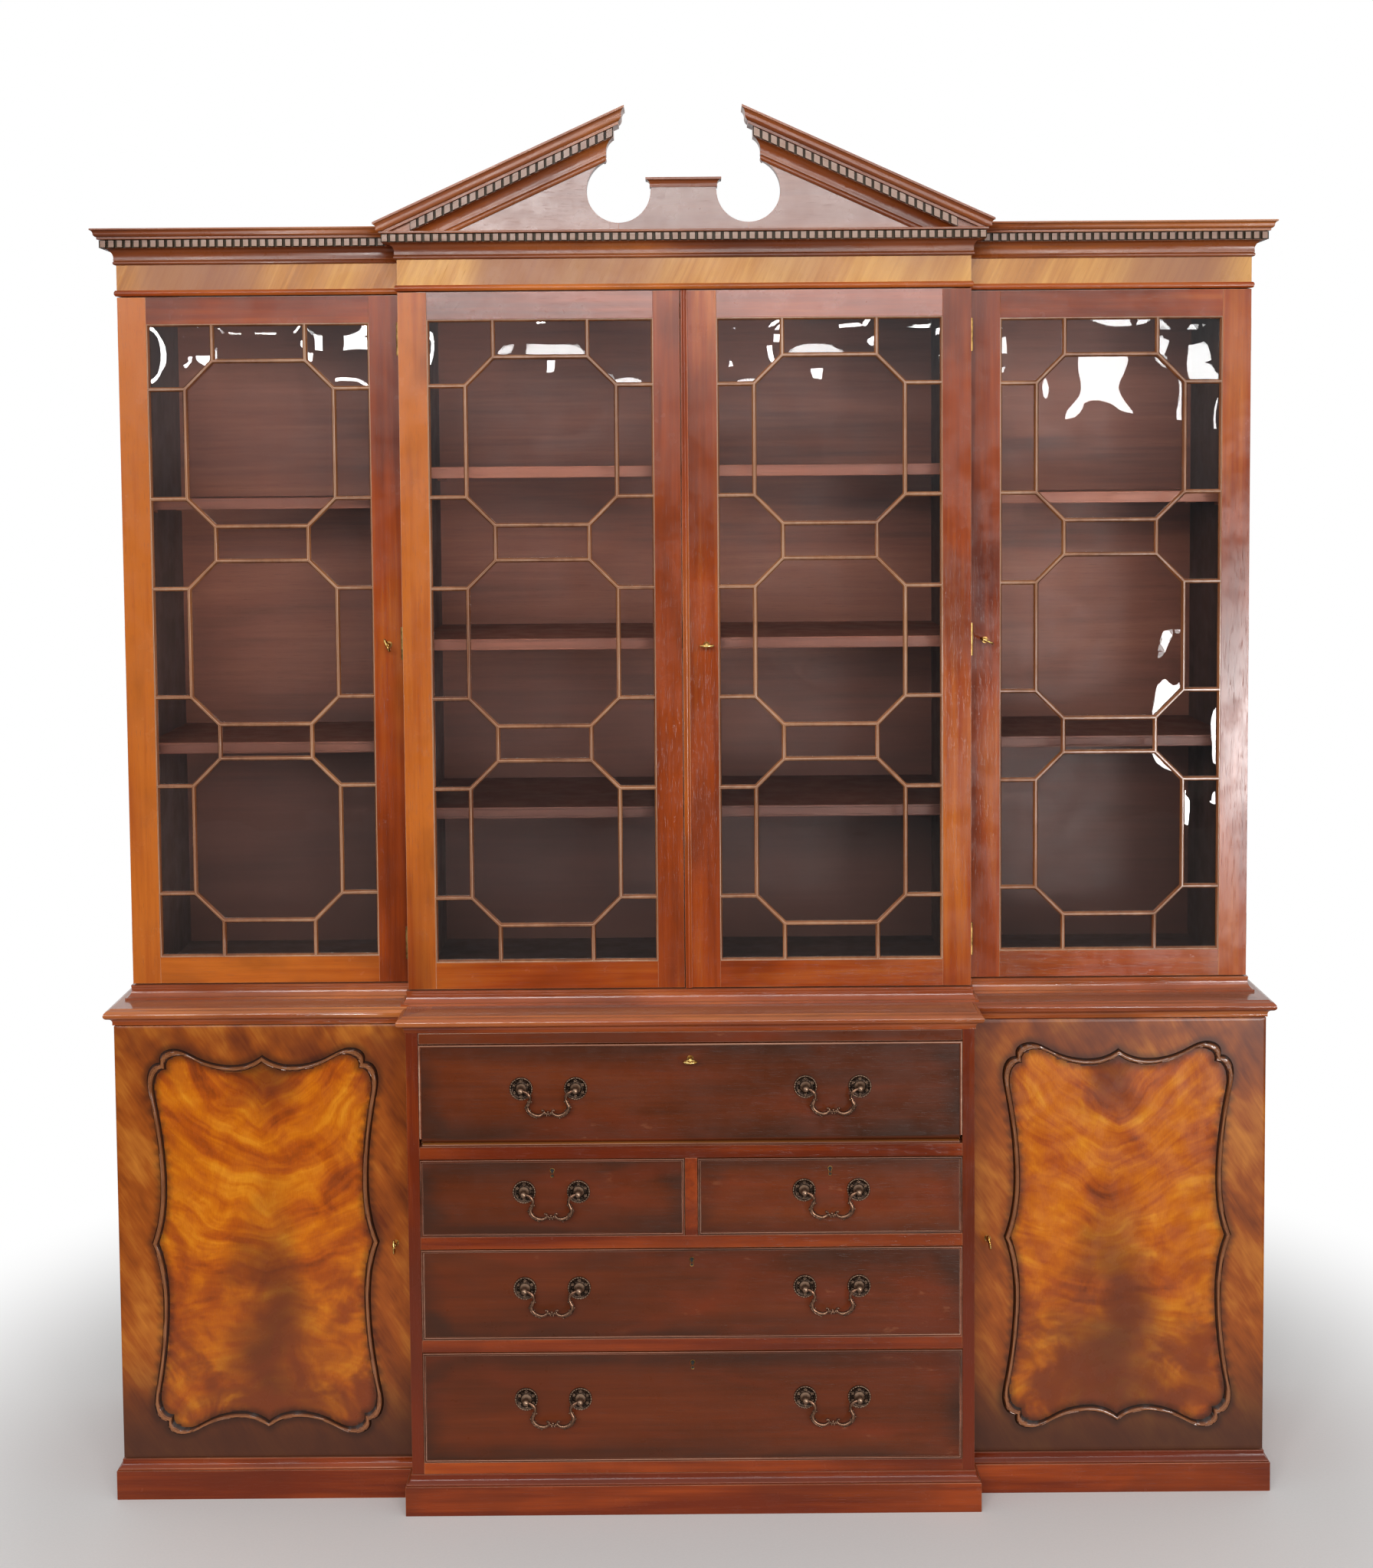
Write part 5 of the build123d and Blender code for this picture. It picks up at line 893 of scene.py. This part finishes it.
def dress_cupboard(side, drift, plume_at, plume_width):
    """Rounds the moulding, and cuts the board's face into small cells, so that each can know how far
    the moulding is, for the painted shade beside it."""
    node = f"{side}_cupboard_door"
    whole, mark = boards_of(node)
    low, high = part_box(node)
    middle = (low + high) / 2
    face_y = min(v.co.y for v in whole.verts if v.co.x < low.x + 5 * MM)
    ring_number = next(face[mark] for face in whole.faces if face.calc_center_median().y < face_y - 1 * MM)
    of_ring = lambda item: item.link_faces[0][mark] == ring_number
    foot = [edge for edge in whole.edges if of_ring(edge) and all(abs(v.co.y - face_y) < 0.06 * MM for v in edge.verts)
            and sum(face.calc_center_median().y < face_y - 0.1 * MM for face in edge.link_faces) == 1]
    inner, outer = closed_loops(foot)
    crown = [face for face in whole.faces if face[mark] == ring_number and face.normal.y < -0.99]
    for thickness, drop in BEAD_STEPS:
        shoulders = {v for face in crown for v in face.verts}
        bmesh.ops.inset_region(whole, faces=crown, thickness=thickness, depth=0, use_boundary=True,
                               use_even_offset=False)
        within = {v for face in crown for v in face.verts}
        for vertex in shoulders - within:
            vertex.co.y += drop
    soften(whole, 0.8 * MM, 2, 8.0, 60.0, lambda edge: not of_ring(edge))
    for axis in (0, 2):
        count = int((high[axis] - low[axis]) / CELL)
        normal = Vector([float(axis == number) for number in range(3)])
        ahead = [f for f in whole.faces if f[mark] != ring_number and f.normal.y < -0.99 and
                 abs(f.calc_center_median().y - face_y) < 0.1 * MM]
        for step in range(1, count):
            place = low[axis] + step * (high[axis] - low[axis]) / count
            faces = [f for f in ahead if f.is_valid and min(v.co[axis] for v in f.verts) < place - 1e-6
                     and max(v.co[axis] for v in f.verts) > place + 1e-6]
            geom = with_edges(faces)
            cut = bmesh.ops.bisect_plane(whole, geom=geom, plane_co=normal * place, plane_no=normal, dist=1e-6)
            ahead += [f for f in cut["geom"] if isinstance(f, bmesh.types.BMFace)]
            ahead = [f for f in dict.fromkeys(ahead) if f.is_valid and max(v.co[axis] for v in f.verts) > place + 1e-6]
    shade = whole.verts.layers.float.new("rim")
    near = KDTree(len(inner) + len(outer))
    for number, spot in enumerate(inner + outer):
        near.insert(spot, number)
    near.balance()
    for face in whole.faces:
        spot = face.calc_center_median()
        if face[mark] == ring_number:
            face.material_index = 2
            continue
        face.material_index = 0
        if face.normal.y < -0.99 and abs(spot.y - face_y) < 0.1 * MM:
            face.material_index = int(is_inside(spot, inner))
            for vertex in face.verts:
                away = near.find(vertex.co)[2]
                under = is_inside(vertex.co, outer) and not is_inside(vertex.co, inner)
                vertex[shade] = 1.0 if under else max(0.0, 1 - away / SHADE_WIDTH)
    write_grain(whole, mark, None, int(drift * 10))
    finishes = [border_veneer(f"{side}_border_veneer", middle, drift),
                flame_veneer(f"{side}_flame_veneer", middle, drift, plume_at, plume_width),
                bead_shade_and_highlight(f"{side}_door_bead", face_y, min(v.co.y for v in whole.verts))]
    piece = keep_piece(whole, f"{node}_veneered", node, finishes, 40)
    print(f"{node}: {len(piece.data.polygons)} faces")


dress_cupboard("left", 3.7, 0.012, 0.075)
dress_cupboard("right", 8.2, -0.005, 0.085)

# %% [markdown]
# ## Brass and bronze
# Each handle hangs from two roses: round cast plates with a beaded rim, a ring of little flowers and a
# raised boss. The plate is a profile spun about its axis, and every bead and petal is a small ball. The
# bail is a swan neck that swells and thins, with an elbow, a curled end and a flower in the middle, so it
# is a tube whose radius changes along a smooth curve. Old lacquer has left the metal dark in every hollow
# and pale on what a hand touches, which the height above the plate can tell.

# %% Metals
def worn_metal(name, dark, mid, bright, foot, rise, shine=0.34):
    """Metal that is dark near the plate and brighter towards the hand; foot and rise are depths along Y."""
    metal = Recipe(name)
    place = metal.place()
    height = metal.math("DIVIDE", metal.math("SUBTRACT", foot, metal.parts(place)[1]), rise)
    grime = metal.noise(place, 0.004, 3.0, 0.6)
    height = metal.math("ADD", height, metal.math("MULTIPLY", metal.math("SUBTRACT", grime, 0.5), 0.9))
    colour = metal.tones(height, (0.25, dark), (0.6, mid), (0.95, bright))
    return metal.finish(Base_Color=colour, Metallic=0.9,
                        Roughness=metal.between(grime, 0.3, 0.7, shine - 0.08, shine + 0.12))


def plain_metal(name, dark, bright, shine, size=0.012):
    metal = Recipe(name)
    cloud = metal.noise(metal.place(), size, 3.0, 0.6)
    colour = metal.mix(metal.between(cloud, 0.35, 0.65), dark, bright)
    return metal.finish(Base_Color=colour, Metallic=1.0, Roughness=metal.between(cloud, 0.3, 0.7, shine, shine + 0.12))


DRAWER_FACE = -219.5 * MM
ROSE_METAL = worn_metal("rose_bronze", tone(38, 28, 22), tone(74, 56, 45), tone(138, 112, 92), DRAWER_FACE, 3.6 * MM)
BAIL_METAL = worn_metal("bail_bronze", tone(32, 22, 17), tone(66, 45, 35), tone(126, 94, 74),
                        DRAWER_FACE - 12.6 * MM, 5.4 * MM, 0.28)
KEY_BRASS = plain_metal("key_brass_finish", tone(178, 132, 58), tone(236, 204, 128), 0.16)
OLD_BRASS = plain_metal("aged_brass", tone(118, 88, 46), tone(184, 146, 86), 0.3)
KEYHOLE_SHADE = Recipe("keyhole_painted_shade").finish(Base_Color=tone(16, 12, 10), Roughness=0.8)


def plug_wood():
    """A turned plug of drawer wood round each keyhole."""
    wood = Recipe("keyhole_plug")
    fibre = wood.noise(wood.scale(wood.place(), (0.1, 1.0, 1.0)), 0.0012, 3.0, 0.6)
    return wood.finish(Base_Color=wood.mix(fibre, tone(82, 38, 18), tone(112, 52, 24)), Roughness=0.34,
                       Specular_IOR_Level=0.2)


PLUG = plug_wood()


# %% Balls, spun plates and tubes
def add_ball(whole, centre, radius, stretch=(1, 1, 1)):
    place = Matrix.Translation(centre) @ Matrix.Diagonal((*stretch, 1))
    bmesh.ops.create_uvsphere(whole, u_segments=8, v_segments=6, radius=radius, matrix=place)


def add_spun(whole, centre, profile, steps=32):
    """Spins (radius, distance in front) pairs about the axis that points out of a drawer or door."""
    points = [whole.verts.new((centre.x + radius, centre.y - out, centre.z)) for radius, out in profile]
    edges = [whole.edges.new(pair) for pair in zip(points, points[1:])]
    spun = bmesh.ops.spin(whole, geom=points + edges, cent=centre, axis=(0, 1, 0), angle=2 * math.pi,
                          steps=steps, use_merge=True)
    return spun


def smooth_path(points, steps=5):
    """A smooth curve through rows of x, y, z and radius."""
    rows, path = [points[0], *points, points[-1]], []
    for a, b, c, d in zip(rows, rows[1:], rows[2:], rows[3:]):
        for step in range(steps):
            t = step / steps
            path.append([0.5 * (2 * q + (r - p) * t + (2 * p - 5 * q + 4 * r - s) * t * t
                                + (3 * q - p - 3 * r + s) * t ** 3) for p, q, r, s in zip(a, b, c, d)])
    return path + [list(points[-1])]


def add_tube(whole, points, sides=8, closed=False):
    """A tube whose radius changes, along a curve that lies in a plane facing the front."""
    path = smooth_path(points)
    spots = [Vector(row[:3]) for row in path]
    if closed:
        path, spots = path[:-1], spots[:-1]
    rings, front = [], Vector((0, 1, 0))
    for number, spot in enumerate(spots):
        after = spots[(number + 1) % len(spots)] if closed else spots[min(number + 1, len(spots) - 1)]
        before = spots[number - 1] if closed or number else spots[0]
        way = (after - before).normalized()
        side = front.cross(way).normalized()
        basis = Matrix((side, front, way)).transposed().to_4x4()
        made = bmesh.ops.create_circle(whole, segments=sides, radius=max(path[number][3], 0.05 * MM),
                                       matrix=Matrix.Translation(spot) @ basis,
                                       cap_ends=not closed and number in (0, len(spots) - 1))["verts"]
        rings.append(list(dict.fromkeys(edge for vertex in made for edge in vertex.link_edges)))
    for first, second in zip(rings, rings[1:] + (rings[:1] if closed else [])):
        bmesh.ops.bridge_loops(whole, edges=first + second)


def keep_metal(whole, name, node, finishes, stands_for, smooth_deg=60):
    bmesh.ops.remove_doubles(whole, verts=whole.verts, dist=1e-6)
    bmesh.ops.recalc_face_normals(whole, faces=whole.faces)
    print(f"  {name}: {len(whole.faces)} faces")
    for edge in whole.edges:
        edge.smooth = len(edge.link_faces) != 2 or edge.calc_face_angle(0) < math.radians(smooth_deg)
    for face in whole.faces:
        face.smooth = True
    mesh = bpy.data.meshes.new(name)
    whole.to_mesh(mesh)
    whole.free()
    for finish in finishes:
        mesh.materials.append(finish)
    piece = bpy.data.objects.new(name, mesh)
    scene.collection.objects.link(piece)
    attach(piece, frame["nodes"][node]["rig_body"])
    if stands_for:
        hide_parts(node)
    return piece


print("metals:", ROSE_METAL.name, BAIL_METAL.name, KEY_BRASS.name, OLD_BRASS.name)

# %% Cast the roses and their bails
BAILS = {"bottom_drawer_brass": ("bottom_drawer_left_bail", "bottom_drawer_right_bail"),
         "long_drawer_brass": ("long_drawer_left_bail", "long_drawer_right_bail"),
         "left_short_drawer_brass": ("left_short_drawer_bail",),
         "right_short_drawer_brass": ("right_short_drawer_bail",),
         "secretaire_fall_brass": ("secretaire_left_bail", "secretaire_right_bail")}
POST_SPREAD, WIRE = 94 * MM, 2.4 * MM
KEYHOLES = {f"{drawer}_brass": Vector((x * MM, DRAWER_FACE, z * MM)) for drawer, x, z in (
    ("bottom_drawer", 0, 264.5), ("long_drawer", 0, 447.0), ("left_short_drawer", -240, 605.5),
    ("right_short_drawer", 240, 605.5))}
# The plate's outline, as rows of radius and distance in front of the drawer, in millimetres
ROSE = [(20.0, 0.0), (20.0, 1.2), (19.6, 2.2), (18.6, 2.7), (17.6, 2.2), (17.0, 1.2), (10.6, 1.0), (9.8, 1.8),
        (9.2, 3.0), (8.0, 4.0), (6.6, 6.4), (5.9, 7.4), (5.5, 8.2), (5.5, 15.0), (5.1, 17.2), (4.0, 19.0),
        (2.2, 20.1), (0.0, 20.5)]
RIM_BEADS, FLOWERS, PETALS = 26, 6, 5


def hang_centre(bail):
    low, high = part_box(bail)
    return Vector(((low.x + high.x) / 2, DRAWER_FACE, high.z - WIRE))


def add_rose(whole, centre):
    """A plate with beads round its rim, a ring of flowers, and two small beads between each pair."""
    add_spun(whole, centre, [(radius * MM, out * MM) for radius, out in ROSE])

    def spot(middle, share, radius, out):
        turn = 2 * math.pi * share
        return middle + Vector((math.cos(turn) * radius, -out, math.sin(turn) * radius)) * MM

    for number in range(RIM_BEADS):
        add_ball(whole, spot(centre, number / RIM_BEADS, 18.7, 2.3), 1.35 * MM)
    for number in range(FLOWERS):
        share = (number + 0.5) / FLOWERS
        add_ball(whole, spot(centre, share, 13.6, 2.8), 1.0 * MM)
        for petal in range(PETALS):
            add_ball(whole, spot(spot(centre, share, 13.6, 1.9), share + petal / PETALS, 2.1, 0), 1.25 * MM)
        add_ball(whole, spot(centre, number / FLOWERS, 11.4, 1.6), 0.9 * MM)
        add_ball(whole, spot(centre, number / FLOWERS, 15.8, 1.5), 0.8 * MM)


# One half of a bail: its neck, the leaf outside it and its small balls, as rows of distance to the side,
# height and radius, in millimetres
NECK = [(44.0, 0, 2.0), (39.5, -1.2, 2.3), (34.5, -4.6, 2.7), (31.0, -10.0, 2.3), (30.8, -15.5, 2.1), (33.0, -21.5, 2.5),
        (35.4, -27.0, 2.7), (33.6, -33.6, 2.5), (29.0, -38.6, 2.4), (23.0, -41.8, 2.5), (16.5, -43.0, 2.6),
        (10.8, -41.2, 2.2), (7.2, -37.6, 1.8), (7.4, -34.2, 1.5), (9.6, -33.2, 1.3)]
LEAF = [(35.8, -21.0, 0.7), (38.2, -27.5, 1.1), (36.6, -34.6, 1.2), (31.4, -40.6, 1.3), (25.0, -44.6, 1.1),
        (20.2, -46.4, 0.8)]
BALLS = [(39.2, -28.6, 1.6), (28.4, -18.4, 1.7), (34.6, -18.0, 1.6), (20.0, -47.0, 1.6), (10.2, -33.4, 2.0),
         (33.0, -38.6, 1.5), (27.0, -43.4, 1.4), (29.8, -33.0, 1.3), (4.6, -38.2, 2.1), (2.4, -42.4, 1.7)]
BUD = ((-8, 1.3), (-3, 1.9), (3, 1.9), (8, 1.3))
BAIL_OUT, THICKER = 15 * MM, 1.2


def add_bail(whole, centre):
    """Two mirrored halves, and the bud that joins them in the middle."""
    y = centre.y - BAIL_OUT
    for side in (-1, 1):
        for line in (NECK, LEAF):
            add_tube(whole, [(centre.x + side * across * MM, y, centre.z + up * MM, THICKER * radius * MM)
                             for across, up, radius in line])
        for across, up, radius in BALLS:
            add_ball(whole, Vector((centre.x + side * across * MM, y - 0.6 * MM, centre.z + up * MM)), radius * MM)
    add_tube(whole, [(centre.x + across * MM, y, centre.z - 40 * MM, radius * MM) for across, radius in BUD])
    add_ball(whole, Vector((centre.x, y - 1.0 * MM, centre.z - 36.2 * MM)), 2.2 * MM)


def cast_once(name, build):
    """Builds a casting at the origin, once; its mesh is then copied wherever it hangs."""
    whole = bmesh.new()
    build(whole, Vector((0, 0, 0)))
    mesh = bpy.data.meshes.new(name)
    whole.to_mesh(mesh)
    whole.free()
    return mesh


def place_copy(whole, mesh, centre):
    before = len(whole.verts)
    whole.from_mesh(mesh)
    whole.verts.ensure_lookup_table()
    bmesh.ops.translate(whole, vec=centre, verts=whole.verts[before:])


rose_cast, bail_cast = cast_once("rose", add_rose), cast_once("bail", add_bail)
for brass, bails in BAILS.items():
    plates, mark = boards_of(brass)
    spots = [hang_centre(bail) + Vector((side * POST_SPREAD / 2, 0, 0)) for bail in bails for side in (-1, 1)]
    gone = [v for v in plates.verts if v.co.y < DRAWER_FACE + 0.05 * MM
            and any((Vector((v.co.x, 0, v.co.z)) - Vector((p.x, 0, p.z))).length < 21 * MM for p in spots)]
    bmesh.ops.delete(plates, geom=gone, context="VERTS")
    for bail in bails:
        cast = bmesh.new()
        place_copy(cast, bail_cast, hang_centre(bail))
        keep_metal(cast, f"{bail}_cast", bail, [BAIL_METAL], True)
    roses = bmesh.new()
    for spot in spots:
        place_copy(roses, rose_cast, spot)
    made = keep_metal(roses, f"{brass}_roses", brass, [ROSE_METAL], False)
    for face in plates.faces:
        around = face.calc_center_median() - KEYHOLES.get(brass, Vector((9, 9, 9)))
        face.material_index = int(Vector((around.x, 0, around.z)).length < 7 * MM and around.y < 0.6 * MM)
    keep_metal(plates, f"{brass}_plates", brass, [OLD_BRASS, PLUG], True, 40)
    print(f"{brass}: {len(made.data.polygons)} faces in {len(spots)} roses")

# %% [markdown]
# ## Keys and keyholes
# Six locks hold a key, cast in yellow brass: a shank with a collar where it meets the door, and a flat
# oval bow, pierced, with a small finial. The drawers without a key show a keyhole in a turned plug of
# wood, edged with a thin line of brass. The keyhole's outline is a small arc above a narrower slot.

# %% Make the keys and the keyholes
KEYS = {"left_wing_key": 68, "right_centre_key": 0, "right_wing_key": 25, "left_cupboard_key": 90,
        "right_cupboard_key": 80, "secretaire_key": 0}
SHANK = [(0.0, -17.0), (2.3, -16.8), (2.4, 0.0), (3.2, 0.4), (3.3, 1.6), (2.5, 2.2), (2.4, 8.0), (3.0, 8.6),
         (3.8, 10.4), (3.9, 11.6), (3.0, 13.2), (1.6, 14.0), (0.0, 14.1)]
SHANK_IN, BOW_OUT = 17 * MM, 20.2 * MM


def make_key(node, turn_deg):
    low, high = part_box(node)
    face = high.y - SHANK_IN
    centre = Vector(((low.x + high.x) / 2, face, (low.z + high.z) / 2))
    whole = bmesh.new()
    add_spun(whole, centre, [(radius * MM, out * MM) for radius, out in SHANK], 20)
    bow = bmesh.new()
    oval = [2 * math.pi * number / 16 for number in range(17)]
    add_tube(bow, [(centre.x + 10.8 * MM * math.cos(t), face, centre.z + 7.0 * MM * math.sin(t),
                    (2.0 + 0.35 * math.cos(2 * t)) * MM) for t in oval], 8, True)
    add_tube(bow, [(centre.x + 3.4 * MM * math.cos(t), face, centre.z + 3.2 * MM * math.sin(t), 1.0 * MM)
                   for t in oval], 6, True)
    for side in (-1, 1):
        add_ball(bow, centre + Vector((side * 6.4 * MM, 0, 0)), 2.2 * MM, (1.5, 0.7, 0.7))
    add_ball(bow, centre + Vector((0, 0, 8.8 * MM)), 2.0 * MM)
    lay = Matrix.Translation(centre + Vector((0, -BOW_OUT, 0))) @ Matrix.Rotation(math.radians(90), 4, "X")
    bmesh.ops.transform(bow, matrix=lay @ Matrix.Translation(-centre), verts=bow.verts)
    scratch = bpy.data.meshes.new("bow")
    bow.to_mesh(scratch)
    bow.free()
    whole.from_mesh(scratch)
    bpy.data.meshes.remove(scratch)
    about = Matrix.Translation(centre) @ Matrix.Rotation(math.radians(turn_deg), 4, "Y") @ Matrix.Translation(-centre)
    bmesh.ops.transform(whole, matrix=about, verts=whole.verts)
    keep_metal(whole, f"{node}_cast", node, [KEY_BRASS], True)


for node, turn_deg in KEYS.items():
    make_key(node, turn_deg)

THREAD = [(0.0, 3.0), (1.9, 2.3), (2.8, 0.6), (2.4, -1.2), (1.6, -2.6), (1.7, -5.6), (1.9, -8.6), (0.0, -9.1),
          (-1.9, -8.6), (-1.7, -5.6), (-1.6, -2.6), (-2.4, -1.2), (-2.8, 0.6), (-1.9, 2.3), (0.0, 3.0)]
THREAD_SIZE = 1.3 * MM
for brass, centre in KEYHOLES.items():
    spot = centre + Vector((0, 0, 2 * MM))
    hole = bmesh.new()
    add_tube(hole, [(spot.x + across * THREAD_SIZE, spot.y - 0.5 * MM, spot.z + up * THREAD_SIZE, 0.65 * MM)
                    for across, up in THREAD], 6, True)
    before = set(hole.faces)
    add_spun(hole, spot + Vector((0, 0.8 * MM, 0)), [(3.2 * MM, 0), (3.2 * MM, 1.2 * MM), (0, 1.2 * MM)], 12)
    slit = bmesh.ops.create_cube(hole, size=1.0)["verts"]
    bmesh.ops.scale(hole, vec=(4.2 * MM, 1.2 * MM, 10.6 * MM), verts=slit)
    bmesh.ops.translate(hole, vec=spot + Vector((0, 0.25 * MM, -5.8 * MM)), verts=slit)
    # The keyhole's arc and slot wear a near-black finish, painted shade for the hole.
    for face in set(hole.faces) - before:
        face.material_index = 1
    keep_metal(hole, brass.replace("_brass", "_keyhole"), brass, [OLD_BRASS, KEYHOLE_SHADE], False)

for node in [*(f"{side}_door_brass" for side in WINGS), "left_cupboard_door_brass", "right_cupboard_door_brass",
             "case_hinges", "secretaire_hinges"]:
    fitting, mark = boards_of(node)
    soften(fitting, 0.3 * MM, 1, 4.0)
    for face in fitting.faces:
        face.material_index = 0
    keep_metal(fitting, f"{node}_aged", node, [OLD_BRASS], True, 40)
print("keys:", len(KEYS), "keyholes:", len(KEYHOLES))

# %% [markdown]
# ## Old glass
# The panes of the lattice are separate, and none is flat: each is bowed a little, and rippled by the way
# the sheet was made. That is what breaks the bright windows of the room into wavy shapes. So each pane is
# cut into a fine grid, and pushed back by a shallow dome and a ripple that both die away at its edges.

# %% Make the panes
from mathutils import noise as field

CLEAR = Recipe("old_glass")
GLASS = CLEAR.finish(Base_Color=(0.965, 0.96, 0.955, 1.0), Roughness=0.0, IOR=1.5, Transmission_Weight=1.0,
                     Specular_IOR_Level=0.5)
PANE_GRID, PANE_BOW, PANE_RIPPLE, WIDE_PANE = 14 * MM, 0.6 * MM, 0.55 * MM, 200 * MM


def make_panes(side):
    node = f"{side}_door_panes"
    glass, mark = boards_of(node)
    bmesh.ops.dissolve_limit(glass, angle_limit=0.01, verts=glass.verts, edges=glass.edges)
    low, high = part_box(node)
    for axis in (0, 2):
        count = int((high[axis] - low[axis]) / PANE_GRID)
        for step in range(1, count):
            spot, normal = Vector(low), Vector((0, 0, 0))
            spot[axis] += step * (high[axis] - low[axis]) / count
            normal[axis] = 1
            bmesh.ops.bisect_plane(glass, geom=glass.verts[:] + glass.edges[:] + glass.faces[:],
                                   plane_co=spot, plane_no=normal, dist=1e-6)
    groups = {}
    for face in glass.faces:
        groups.setdefault(face[mark], {}).update(dict.fromkeys(face.verts))
    dice = random.Random(sum(map(ord, side)))
    for number, group in sorted(groups.items()):
        ends = [(min(v.co[axis] for v in group), max(v.co[axis] for v in group)) for axis in (0, 2)]
        size = min(ends[0][1] - ends[0][0], ends[1][1] - ends[1][0])
        bow = PANE_BOW * min(1.0, size / WIDE_PANE) * dice.uniform(0.5, 1.2)
        ripple = PANE_RIPPLE * dice.uniform(0.6, 1.2)
        drift = Vector([dice.uniform(-50, 50) for _ in range(3)])
        lean = Vector((dice.uniform(-0.4, 0.4), 0, dice.uniform(-0.5, 0.7)))
        for vertex in group:
            across, up = [2 * (vertex.co[axis] - ends[n][0]) / (ends[n][1] - ends[n][0]) - 1
                          for n, axis in enumerate((0, 2))]
            dome = (1 - across ** 2) * (1 - up ** 2)
            fade = min(1.0, 4 * (1 - max(abs(across), abs(up))))
            wave = field.noise(Vector((vertex.co.x / 0.075, 0, vertex.co.z / 0.055)) + drift)
            tilt = dome * (lean.x * across + lean.z * up)
            vertex.co.y += bow * (dome + tilt) + ripple * fade * (0.5 + 0.5 * wave)
    piece = keep_piece(glass, f"{side}_door_glass", node, [GLASS], smooth_deg=40)
    piece.visible_shadow = False
    print(f"{side}: {len(piece.data.polygons)} faces of glass")


for side in WINGS:
    make_panes(side)

# %% Close the lesson
scene.view_settings.view_transform = "Standard"
